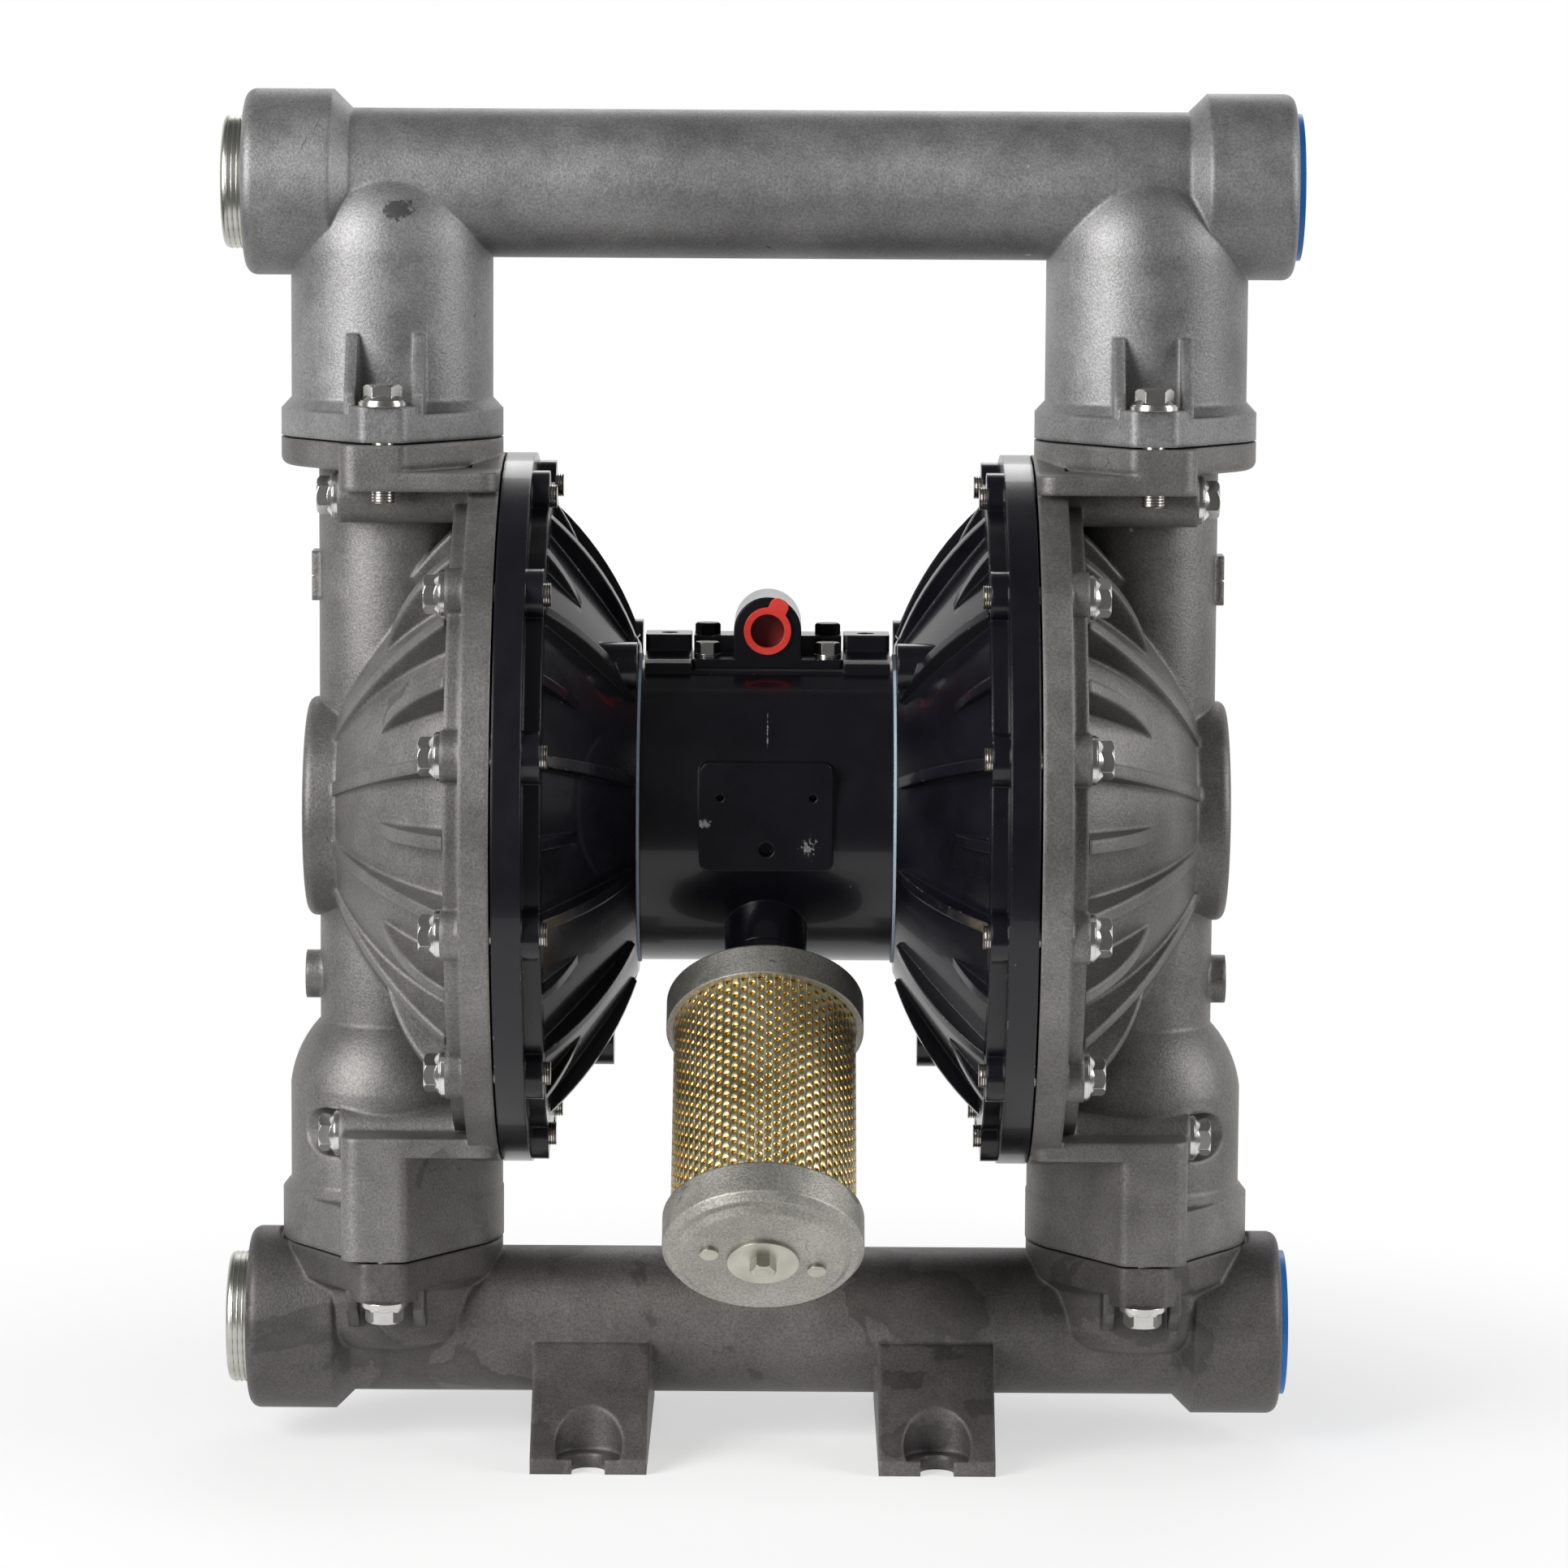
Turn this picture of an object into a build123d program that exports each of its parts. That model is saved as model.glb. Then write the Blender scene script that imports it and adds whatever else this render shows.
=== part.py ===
from build123d import *
from math import cos, radians, sin, sqrt
import os

os.makedirs("parts", exist_ok=True)

# Air operated double diaphragm pump, millimetres.
# Frame: X along the manifolds (left is -X), Y to the back, Z up.
# Origin on the floor, midway between the four foot slots.

# ------------------------------------------------------------------ layout
column_offset = 170.5  # fluid columns and manifold legs, from the middle plane
inlet_axis_z = 54.5
inlet_joint_z = 93.8  # inlet manifold to fluid covers
pump_axis_z = 291.8  # axis of rod, diaphragms and centre housing
rim_radius = 161.5  # outer edge of the cover rims
rim_top_clearance = 7.7  # top of the rims to the outlet joint
outlet_leg_rise = 114.0  # outlet pipe's axis, above the outlet joint
outlet_joint_z = pump_axis_z + rim_radius + rim_top_clearance
outlet_axis_z = outlet_joint_z + outlet_leg_rise
rim_offset = 118.8  # middle of the diaphragm clamp, from the middle plane

# ------------------------------------------------------------------ clearances
joint_gap = 1.0  # flange faces stand apart, on the valve seats
rim_gap = 1.0  # cover rims stand apart, on the diaphragm
fit_clearance = 0.05  # radial, for seats, bushes and screwed pieces
slide_clearance = 0.05  # radial, for rod and spools
bolt_clearance = 0.5  # radial, for bolts through plain holes
loose_clearance = 0.3  # between pieces that move past each other

# ------------------------------------------------------------------ manifolds
pipe_radius = 33.4
pipe_bore_radius = 26.0
port_radius = 41.8
port_face_offset = 236.0  # outer face of each port boss
port_boss_length = 39.5
port_cone_length = 8.5
port_edge_fillet = 5.0
port_thread_radius = 29.8  # 2 inch pipe thread
port_thread_depth = 28.0
leg_radius = 45.6
outlet_leg_dome_rise = 15.6  # top of the outlet leg's dome past the pipe axis
inlet_leg_rise = 8.0  # leg end past the pipe axis
inlet_leg_fillet = 12.0
flange_radius = 50.2
flange_taper = 5.0
ear_reach = 73.0  # flat front of each bolt ear
ear_width = 24.0
ear_corner = 5.0
outlet_flange_thickness = 12.0
inlet_flange_thickness = 13.8
ear_pad_height = 4.0  # bolt ears stand this far past the flange plate
ear_pad_width = 30.0
flange_bolt_reach = 66.0  # bolt axis, from the column axis
rib_thickness = 5.0
rib_spacing = 30.0  # between the middles of the two ribs beside a bolt
outlet_rib_height = 31.0
inlet_rib_height = 16.0

# ------------------------------------------------------------------ ball valves
ball_radius = 30.0
ball_lift = 15.0
cage_radius = 38.0
cage_rib_width = 6.0
ball_running_gap = 1.0
seat_radius = 40.0
seat_bore_radius = 23.5
seat_depth_below = 6.0  # recess in the lower casting
seat_depth_above = 7.0  # recess in the upper casting
ball_height_on_seat = 14.0  # ball centre above the seat's top face
finger_radius = 18.0  # the fingers that stop the lifted ball reach in to here
joint_ring_radius = 45.0
joint_ring_section = 1.6  # radius of the o-ring's section
joint_groove_width = 4.0

# ------------------------------------------------------------------ fluid covers
rim_thickness = 13.3
band_radius = 150.5
band_thickness = 6.9
bolt_circle_radius = 149.5
rim_bolt_count = 12
cover_boss_radius = 11.5
cover_boss_height = 1.0  # bosses stand this far past the band
dome_radius = 135.0
dome_centre_offset = 68.0
dome_wall = 7.5
chamber_radius = 112.0  # inner edge of the diaphragm clamp
clamp_radius = 134.0  # outer edge of the diaphragm
column_radius = 33.3
column_bore_radius = 26.0
hub_pad_radius = 50.0
hub_pad_face_offset = 208.5
hub_pad_depth = 20.0
hub_pad_fillet = 4.0
lower_cage_radius = 46.9
lower_cage_top_z = 165.0
lower_cage_shoulder = 20.0
lower_cage_shoulder_radius = 40.3
lower_cage_end_z = 194.4
cage_neck_rise = 42.0  # straight part of the cage, above the joint
cage_neck_radius = 33.0
cage_neck_half_width = 29.9
lower_collar_radius = 50.6
lower_collar_height = 22.0
collar_gap = 1.5  # port bosses are cut back this far round the collars
lower_collar_chamfer = 4.7
upper_flange_thickness = 12.5
flange_edge_fillet = 4.0
ear_block_inner_offset = 158.0
ear_block_outer_offset = 190.0
ear_block_corner = 8.0
upper_shelf_drop = 20.5  # underside of the upper shelf, below the joint
upper_shelf_thickness = 8.5
lower_shelf_rise = 56.0  # top of the lower shelf, above the joint
lower_shelf_thickness = 8.5
long_rib_points = ((141.5, 133.0), (170.0, 98.5), (199.5, 36.0))
short_rib_points = ((140.5, 138.0), (158.0, 118.0), (171.0, 86.0))
long_boss_radius = 12.2
long_boss_end_offset = 192.0
spot_face_depth = 26.0  # room for the lower long bolts' heads beside the cage
dome_rib_thickness = 6.0
rib_root_radius = 116.0  # ribs start this far out, inside the dome's wall
small_boss_radius = 11.0
small_boss_z = 214.2
small_boss_face_offset = 210.0
date_pad_height = 22.5
date_pad_z = 397.5
date_pad_width = 18.0
date_pad_face_offset = 206.6
date_pad_corner = 2.0
date_pad_depth = 10.0
date_pad_split = 1.0

# ------------------------------------------------------------------ air covers and centre housing
air_rim_thickness = 12.9
air_band_thickness = 7.9
air_band_radius = 148.0
air_lug_width = 23.0
hub_offset = 57.9  # hub face of each air cover
hub_radius = 75.0
air_dome_edge_radius = 132.0
air_dome_middle = (77.5, 105.0)
air_chamber_step = 90.0
air_wall = 8.0
air_rib_thickness = 5.0
long_air_rib_points = ((97.0, 140.0), (75.4, 114.5), (58.5, 80.0))
short_air_rib_points = ((97.4, 141.0), (90.0, 129.0), (82.0, 110.0))
hub_boss_radius = 10.5
hub_boss_circle = 92.0
hub_boss_angle = 50.0
hub_boss_length = 20.0
drain_boss_radius = 12.0
drain_boss_drop = 106.8
drain_boss_offset = 69.3
drain_boss_length = 20.0
air_port_reach = 42.0  # air hole through each hub, behind the rod
air_port_radius = 8.0
hub_screw_circle = 57.0
housing_radius = 69.4
housing_half_length = 56.7
housing_wall = 8.5
rod_boss_radius = 23.0
housing_web = 20.0
top_pad_height = 65.0  # above the pump axis
top_pad_half_width = 34.0
top_pad_half_depth = 24.0
lug_inner_offset = 34.3
lug_outer_offset = 55.2
lug_top_z = 372.0
lug_half_depth = 11.0
lug_hole_radius = 4.0
lug_hole_depth = 16.0
lug_hole_offset = 44.5
lug_corner = 2.0
saddle_radius = 73.6
saddle_half_depth = 27.0
plate_half_width = 29.8
plate_low_z = 271.6
plate_high_z = 320.3
plate_face = 71.2
plate_corner = 4.5
plate_hole_radius = 3.2
plate_hole_z = 281.4
rivet_hole_radius = 1.6
rivet_hole_spacing = 41.4
rivet_hole_z = 304.6
hole_depth = 8.0
plate_pad_depth = 20.0
supply_rise = 28.0  # air supply passage, above the rod
supply_radius = 5.0
exhaust_drop = 33.0  # exhaust passage, below the rod
exhaust_radius = 7.0
side_port_offset = 22.0  # passages from the valve to the two air chambers
side_port_radius = 6.0
left_port_drop = 13.8
right_port_rise = 6.2
side_port_depth = 24.0
hub_gasket_radius = 70.4
screw_boss_radius = 8.0
screw_depth = 16.0
block_screw_boss_radius = 7.0
block_screw_boss_depth = 18.0

# ------------------------------------------------------------------ diaphragms and rod
diaphragm_thickness = 4.0
diaphragm_roll_inner = 67.0
diaphragm_roll_outer = 107.0
diaphragm_roll_height = 11.0
inner_plate_radius = 62.0
inner_plate_thickness = 9.0
outer_plate_radius = 58.0
outer_plate_rim = 6.0
outer_plate_crown = 17.0
rod_radius = 12.0
rod_chamfer = 1.0
plate_edge_fillet = 3.0
stud_radius = 8.0
stud_length = 25.0
bush_wall = 3.0
bush_length = 22.0
rod_seal_length = 5.0
rod_hole_clearance = 1.5  # radial, where the rod passes the hubs
rod_bore_relief = 1.0
pilot_radius = 5.0
pilot_waist_radius = 3.5
pilot_waist_length = 24.0
pilot_reach = 34.0  # pilot spool axis, in front of the rod
pilot_rise = 18.0  # and above it
pilot_boss_radius = 13.0
pilot_tip_gap = 14.5  # plate to pilot tip at mid stroke
pilot_sleeve_wall = 3.0

# ------------------------------------------------------------------ fasteners
bolt_radius = 5.0
bolt_head_width = 15.0
bolt_head_height = 7.6
bolt_flange_radius = 10.2
bolt_flange_thickness = 2.0
washer_radius = 10.8
washer_thickness = 2.0
thread_end = 3.2  # rim bolts stand this far out of the air cover lugs
flange_bolt_length = 45.0
flange_tap_depth = 27.0
small_bolt_radius = 3.0
small_head_width = 10.0
small_head_height = 5.0
small_washer_radius = 6.0
small_washer_thickness = 1.6
small_bolt_depth = 12.0
front_bolt_head = 7.0
socket_radius = 5.0
socket_height = 6.0
socket_width = 5.0
socket_depth = 3.0
head_chamfer = 0.08  # share of the head width

# ------------------------------------------------------------------ air inlet block
gasket_thickness = 1.0
block_half_width = 34.0
block_half_depth = 24.0
block_ear_height = 4.2
block_step_height = 12.8
block_port_z = 375.0
block_port_radius = 15.2
block_bore_radius = 9.3
block_bore_depth = 32.0
block_bolt_offset = 27.3
block_bolt_reach = 12.0
air_passage_radius = 6.0
block_corner = 2.0
block_step_start = 2.0

# ------------------------------------------------------------------ main air valve, at the back
valve_pad_face = 72.0
valve_half_width = 32.0
valve_half_height = 45.0
valve_centre_z = 281.8
valve_depth = 42.0
valve_pad_margin = 4.0
valve_bore_radius = 15.0
valve_sleeve_wall = 3.0
valve_cap_thickness = 8.0
spool_travel = 12.0
valve_bolt_offset = 27.0
valve_bolt_rise = 37.0
cap_bolt_offset = 19.0
cap_bolt_reach = 15.0
valve_port_radius = 4.0
valve_groove_depth = 5.0
valve_groove_width = 8.0
spool_land = 14.0
spool_gap = 17.0
spool_waist_count = 2
spool_waist_radius = 7.0
valve_corner = 6.0

# ------------------------------------------------------------------ exhaust muffler
muffler_tilt = 45.0
neck_boss_radius = 18.4
neck_boss_end = 88.0  # all along the muffler axis, from the pump axis
neck_radius = 13.2
neck_bore_radius = 10.5
neck_collar_end = 97.0
neck_depth = 14.0
cap_radius = 43.75
cap_start = 111.0
cap_rim_height = 15.0
cap_plate = 4.0
cap_hub_height = 8.0
cap_web = 3.0
cap_hub_radius = 24.0
cap_vent_radius = 3.5
cap_vent_circle = 7.5
cap_vent_count = 4
sleeve_radius = 40.3
sleeve_thickness = 0.8
sleeve_end = 240.0
element_thickness = 9.0
bottom_rim_start = 226.5
bottom_rim_end = 241.5
bottom_face = 245.0
bottom_face_radius = 41.0
bottom_crown_radius = 35.2
bottom_crown_height = 3.0
tie_radius = 3.0
tie_head_radius = 5.5
tie_head_height = 3.0
tie_washer_radius = 15.5
tie_washer_thickness = 1.5
tie_nut_width = 10.0
tie_nut_height = 5.0
rivet_radius = 4.0
rivet_head = 1.5
rivet_circle = 24.0
rivet_turn = -15.0

# ------------------------------------------------------------------ plugs
pipe_plug_length = 34.0
pipe_plug_reach = 9.7
pipe_plug_fillet = 2.5
pipe_plug_socket = 25.0
pipe_plug_socket_depth = 16.0
dust_flange_radius = 33.0
dust_flange_thickness = 3.0
dust_cup_length = 18.0
dust_wall = 2.0
air_plug_flange_radius = 10.7
air_plug_flange = 1.6
air_plug_length = 12.0
air_plug_wall = 1.4
air_tab_width = 8.6
air_tab_length = 10.8
air_tab_corner = 3.4
air_tab_reach = 15.7
air_tab_turn = 24.8  # from the top towards the right

# ------------------------------------------------------------------ feet
foot_offset = 78.3
foot_width = 52.4
foot_reach = 82.0
foot_edge = 6.5
foot_shoulder_reach = 35.0
foot_shoulder_z = 50.0
foot_bolt_reach = 75.5
foot_pocket_radius = 15.2
foot_slot_radius = 7.5

# ------------------------------------------------------------------ derived places
rim_pitch = 360 / rim_bolt_count
rim_angles = [rim_pitch * (number + 0.5) for number in range(rim_bolt_count)]
long_angles = [angle for angle in rim_angles if abs(sin(radians(angle))) > 0.9]
short_angles = [angle for angle in rim_angles if angle not in long_angles]
fluid_face = rim_offset + rim_gap / 2
air_face = rim_offset - rim_gap / 2
fluid_step = fluid_face + rim_thickness
band_face = fluid_step + band_thickness
boss_face = band_face + cover_boss_height
air_step = air_face - air_rim_thickness
lug_face = air_step - air_band_thickness
clamp_outer_x = rim_offset + diaphragm_thickness / 2
clamp_inner_x = rim_offset - diaphragm_thickness / 2
plate_inner_x = clamp_inner_x - inner_plate_thickness
inlet_manifold_face = inlet_joint_z - joint_gap / 2
inlet_cover_face = inlet_joint_z + joint_gap / 2
outlet_cover_face = outlet_joint_z - joint_gap / 2
outlet_manifold_face = outlet_joint_z + joint_gap / 2
seat_height = seat_depth_below + joint_gap + seat_depth_above
inlet_seat_top = inlet_cover_face + seat_depth_above
outlet_seat_top = outlet_manifold_face + seat_depth_above
inlet_ball_z = inlet_seat_top + ball_height_on_seat
outlet_ball_z = outlet_seat_top + ball_height_on_seat
outlet_bolt_seat = outlet_manifold_face + outlet_flange_thickness + ear_pad_height
inlet_bolt_seat = inlet_manifold_face - inlet_flange_thickness - ear_pad_height
block_base_z = pump_axis_z + top_pad_height + gasket_thickness
low = (Align.CENTER, Align.CENTER, Align.MIN)
high = (Align.CENTER, Align.CENTER, Align.MAX)
sides = {"left": -1, "right": 1}


def along_x(x, y=0.0, z=pump_axis_z):
    """Plane whose normal points along +X."""
    return Plane(origin=(x, y, z), x_dir=(0, 1, 0), z_dir=(1, 0, 0))


def round_pump_axis(angle):
    """Turns the local XZ plane round the pump axis; 0 is the front, 90 the top."""
    return Location((0, 0, pump_axis_z), (90 - angle, 0, 0))


def rim_point(angle, x, radius=bolt_circle_radius):
    height = pump_axis_z + radius * sin(radians(angle))
    return (x, -radius * cos(radians(angle)), height)


def save(piece, label):
    piece.label = label
    export_step(piece, f"parts/{label}.step")


def flange_outline(radius=flange_radius):
    """Round flange drawn out to a flat bolt ear at the front and the back."""
    with BuildSketch(mode=Mode.PRIVATE) as outline:
        Circle(radius)
        RectangleRounded(ear_width, 2 * ear_reach, ear_corner)
        make_hull()
    return outline.sketch


def ball_cage_ribs(ball_z, floor_z, roof_z):
    """Four guides round a ball, with fingers that stop it at full lift."""
    with BuildPart() as ribs:
        for turn in (45, 135):
            with BuildSketch(Plane.XY.offset(floor_z).rotated((0, 0, turn))):
                Rectangle(2 * cage_radius + 2, cage_rib_width)
            extrude(amount=roof_z - floor_z)
        with Locations((0, 0, floor_z)):
            clear = ball_radius + ball_running_gap
            lift = ball_z + ball_lift - floor_z
            Cylinder(clear, lift, align=low, mode=Mode.SUBTRACT)
        with Locations((0, 0, ball_z + ball_lift)):
            Sphere(ball_radius + loose_clearance, mode=Mode.SUBTRACT)
        with Locations((0, 0, floor_z)):
            Cylinder(finger_radius, roof_z - floor_z, align=low, mode=Mode.SUBTRACT)
    return ribs.part


def hex_head(width, height):
    """Hexagon with its upper corners turned off."""
    with BuildPart() as blank:
        Cylinder(width / sqrt(3), height, align=low)
        chamfer(edges().group_by(Axis.Z)[-1], width * head_chamfer)
    with BuildPart() as head:
        with BuildSketch():
            RegularPolygon(width / 2, 6, major_radius=False)
        extrude(amount=height)
        add(blank.part, mode=Mode.INTERSECT)
    return head.part


def flange_bolt(length):
    """Flange bolt with its washer face at z = 0 and its shank pointing down."""
    with BuildPart() as bolt:
        add(hex_head(bolt_head_width, bolt_head_height))
        Cone(
            bolt_flange_radius, bolt_head_width / 2, bolt_flange_thickness * 1.4, align=low
        )
        Cylinder(bolt_flange_radius, bolt_flange_thickness / 3, align=low)
        Cylinder(bolt_radius, length, align=high)
        chamfer(edges().group_by(Axis.Z)[0], bolt_radius * 0.2)
    return bolt.part


def small_bolt(length, head=small_head_height):
    """Plain hexagon bolt with its washer face at z = 0."""
    with BuildPart() as bolt:
        add(hex_head(small_head_width, head))
        Cylinder(small_bolt_radius, length, align=high)
    return bolt.part


def socket_screw(length):
    """Cylinder-head screw with a hexagon socket, washer face at z = 0."""
    with BuildPart() as screw:
        Cylinder(socket_radius, socket_height, align=low)
        with BuildSketch(Plane.XY.offset(socket_height)):
            RegularPolygon(socket_width / 2, 6, major_radius=False)
        extrude(amount=-socket_depth, mode=Mode.SUBTRACT)
        Cylinder(small_bolt_radius, length, align=high)
    return screw.part


def ring(outer, inner, height):
    with BuildPart() as flat_ring:
        Cylinder(outer, height, align=low)
        Cylinder(inner, height, align=low, mode=Mode.SUBTRACT)
    return flat_ring.part


# ================================================================== manifolds
def header_pipe(axis_z):
    """Pipe along X that ends in a thick boss round each pipe-thread port."""
    boss_start = port_face_offset - port_boss_length
    with BuildPart() as half:
        with BuildSketch(Plane.XZ):
            with BuildLine():
                Polyline(
                    (0, axis_z),
                    (0, axis_z + pipe_radius),
                    (boss_start - port_cone_length, axis_z + pipe_radius),
                    (boss_start, axis_z + port_radius),
                    (port_face_offset, axis_z + port_radius),
                    (port_face_offset, axis_z),
                    close=True,
                )
            make_face()
        revolve(axis=Axis((0, 0, axis_z), (1, 0, 0)))
        rims = half.edges().filter_by(GeomType.CIRCLE)
        fillet(rims.group_by(Axis.X)[-1], port_edge_fillet)
        mirror(about=Plane.YZ)
    return half.part


def manifold_leg(length, end_radius, flange_thickness, rib_height):
    """Leg with its flange face at z = 0, its far end rounded by end_radius."""
    ear_top = flange_thickness + ear_pad_height
    flat_end = leg_radius - end_radius
    with BuildPart() as leg:
        with BuildSketch(Plane.XZ):
            with BuildLine():
                Line((0, 0), (leg_radius, 0))
                Line((leg_radius, 0), (leg_radius, length - end_radius))
                ThreePointArc(
                    (leg_radius, length - end_radius),
                    (
                        flat_end + end_radius * cos(radians(45)),
                        length - end_radius + end_radius * sin(radians(45)),
                    ),
                    (flat_end, length),
                )
                if flat_end > 0:
                    Line((flat_end, length), (0, length))
                Line((0, length), (0, 0))
            make_face()
        revolve(axis=Axis.Z)
        with BuildSketch():
            add(flange_outline())
        extrude(amount=flange_thickness)
        with BuildSketch(Plane.XY.offset(flange_thickness)):
            add(flange_outline())
            Rectangle(ear_pad_width, 2 * ear_reach, mode=Mode.INTERSECT)
        extrude(amount=ear_pad_height)
        with Locations((0, 0, flange_thickness)):
            Cone(flange_radius, leg_radius, flange_taper, align=low)
        for place in (-rib_spacing / 2, rib_spacing / 2):
            foot_reach_y = flange_bolt_reach - rib_thickness / 2
            with BuildSketch(Plane.YZ.offset(place)):
                with BuildLine():
                    Polyline(
                        (-foot_reach_y, flange_thickness),
                        (-foot_reach_y, ear_top + rib_thickness),
                        (-leg_radius, ear_top + rib_height),
                        (leg_radius, ear_top + rib_height),
                        (foot_reach_y, ear_top + rib_thickness),
                        (foot_reach_y, flange_thickness),
                        close=True,
                    )
                make_face()
            extrude(amount=rib_thickness / 2, both=True)
    return leg.part


outlet_leg = manifold_leg(
    outlet_axis_z + outlet_leg_dome_rise - outlet_manifold_face,
    leg_radius,
    outlet_flange_thickness,
    outlet_rib_height,
)
inlet_leg = manifold_leg(
    inlet_manifold_face - inlet_axis_z + inlet_leg_rise,
    inlet_leg_fillet,
    inlet_flange_thickness,
    inlet_rib_height,
)
cage_floor = seat_depth_above
cage_roof = seat_depth_above + ball_height_on_seat + ball_lift + ball_radius + 3.0
cage_ribs = ball_cage_ribs(
    seat_depth_above + ball_height_on_seat, cage_floor, cage_roof
)
columns = [(-column_offset, 0), (column_offset, 0)]
column_bolts = [(x, y * flange_bolt_reach) for x, _ in columns for y in (-1, 1)]

# Outlet manifold: cast pipe with two legs that hold the outlet balls.
with BuildPart() as outlet_manifold:
    add(header_pipe(outlet_axis_z))
    with Locations(*[(x, y, outlet_manifold_face) for x, y in columns]):
        add(outlet_leg)
    with Locations(*[(x, y, outlet_manifold_face) for x, y in columns]):
        Cylinder(
            pipe_bore_radius,
            outlet_axis_z - outlet_manifold_face,
            align=low,
            mode=Mode.SUBTRACT,
        )
        Cylinder(cage_radius, cage_roof, align=low, mode=Mode.SUBTRACT)
        Cylinder(
            seat_radius + fit_clearance, seat_depth_above, align=low, mode=Mode.SUBTRACT
        )
    with Locations((0, 0, outlet_axis_z)):
        Cylinder(
            pipe_bore_radius, 2 * port_face_offset, rotation=(0, 90, 0), mode=Mode.SUBTRACT
        )
    for end in (-1, 1):
        with Locations((end * (port_face_offset - port_thread_depth / 2), 0, outlet_axis_z)):
            Cylinder(
                port_thread_radius + fit_clearance,
                port_thread_depth,
                rotation=(0, 90, 0),
                mode=Mode.SUBTRACT,
            )
    with Locations(*[(x, y, outlet_manifold_face) for x, y in column_bolts]):
        Cylinder(
            bolt_radius + bolt_clearance,
            outlet_flange_thickness + ear_pad_height,
            align=low,
            mode=Mode.SUBTRACT,
        )
    with Locations(*[(x, y, outlet_manifold_face) for x, y in columns]):
        add(cage_ribs)
save(outlet_manifold.part, "outlet_manifold")

# Feet: wedge blocks under the inlet pipe, each with an open bolt slot front and back.
with BuildPart() as foot:
    with BuildSketch(Plane.YZ):
        with BuildLine():
            Polyline(
                (-foot_reach, 0),
                (-foot_reach, foot_edge),
                (-foot_shoulder_reach, foot_shoulder_z),
                (foot_shoulder_reach, foot_shoulder_z),
                (foot_reach, foot_edge),
                (foot_reach, 0),
                close=True,
            )
        make_face()
    extrude(amount=foot_width / 2, both=True)
    slot_run = foot_reach - foot_bolt_reach + 1.0
    for end in (-1, 1):
        with Locations((0, end * foot_bolt_reach, foot_edge)):
            Cylinder(
                foot_pocket_radius, foot_shoulder_z, align=low, mode=Mode.SUBTRACT
            )
            Cylinder(foot_slot_radius, foot_edge, align=high, mode=Mode.SUBTRACT)
        with Locations((0, end * (foot_bolt_reach + slot_run / 2), foot_edge)):
            Box(
                2 * foot_slot_radius, slot_run, foot_edge, align=high, mode=Mode.SUBTRACT
            )

# Inlet manifold: the same kind of casting, legs up, standing on the feet.
with BuildPart() as inlet_manifold:
    add(header_pipe(inlet_axis_z))
    with Locations((-foot_offset, 0, 0), (foot_offset, 0, 0)):
        add(foot.part)
    with Locations(*[(x, y, inlet_manifold_face) for x, y in columns]):
        add(inlet_leg, rotation=(180, 0, 0))
    with Locations(*[(x, y, inlet_manifold_face) for x, y in columns]):
        Cylinder(
            lower_collar_radius + collar_gap,
            port_radius,
            align=low,
            mode=Mode.SUBTRACT,
        )
        Cylinder(
            pipe_bore_radius,
            inlet_manifold_face - inlet_axis_z,
            align=high,
            mode=Mode.SUBTRACT,
        )
        Cylinder(
            seat_radius + fit_clearance, seat_depth_below, align=high, mode=Mode.SUBTRACT
        )
    with Locations((0, 0, inlet_axis_z)):
        Cylinder(
            pipe_bore_radius, 2 * port_face_offset, rotation=(0, 90, 0), mode=Mode.SUBTRACT
        )
    for end in (-1, 1):
        with Locations((end * (port_face_offset - port_thread_depth / 2), 0, inlet_axis_z)):
            Cylinder(
                port_thread_radius + fit_clearance,
                port_thread_depth,
                rotation=(0, 90, 0),
                mode=Mode.SUBTRACT,
            )
    with Locations(*[(x, y, inlet_manifold_face) for x, y in column_bolts]):
        Cylinder(
            bolt_radius + bolt_clearance,
            inlet_flange_thickness + ear_pad_height,
            align=high,
            mode=Mode.SUBTRACT,
        )
    with Locations(*[(x, y, inlet_manifold_face) for x, y in columns]):
        add(
            ring(
                joint_ring_radius + joint_groove_width / 2,
                joint_ring_radius - joint_groove_width / 2,
                2 * joint_ring_section - joint_gap,
            ),
            rotation=(180, 0, 0),
            mode=Mode.SUBTRACT,
        )
save(inlet_manifold.part, "inlet_manifold")


# ================================================================== covers
def radial_rib(points, inner, thickness):
    """Rib in a plane through the pump axis; its outer edge is an arc."""
    first, middle, last = points
    with BuildPart() as rib:
        with BuildSketch(Plane.XZ):
            with BuildLine():
                ThreePointArc(first, middle, last)
                Polyline(last, inner[1], inner[0], first)
            make_face()
        extrude(amount=thickness / 2, both=True)
    return rib.part


def turned(profile_points):
    """Points given as (x, radius), moved to the pump axis."""
    return [(x, pump_axis_z + radius) for x, radius in profile_points]


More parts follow.
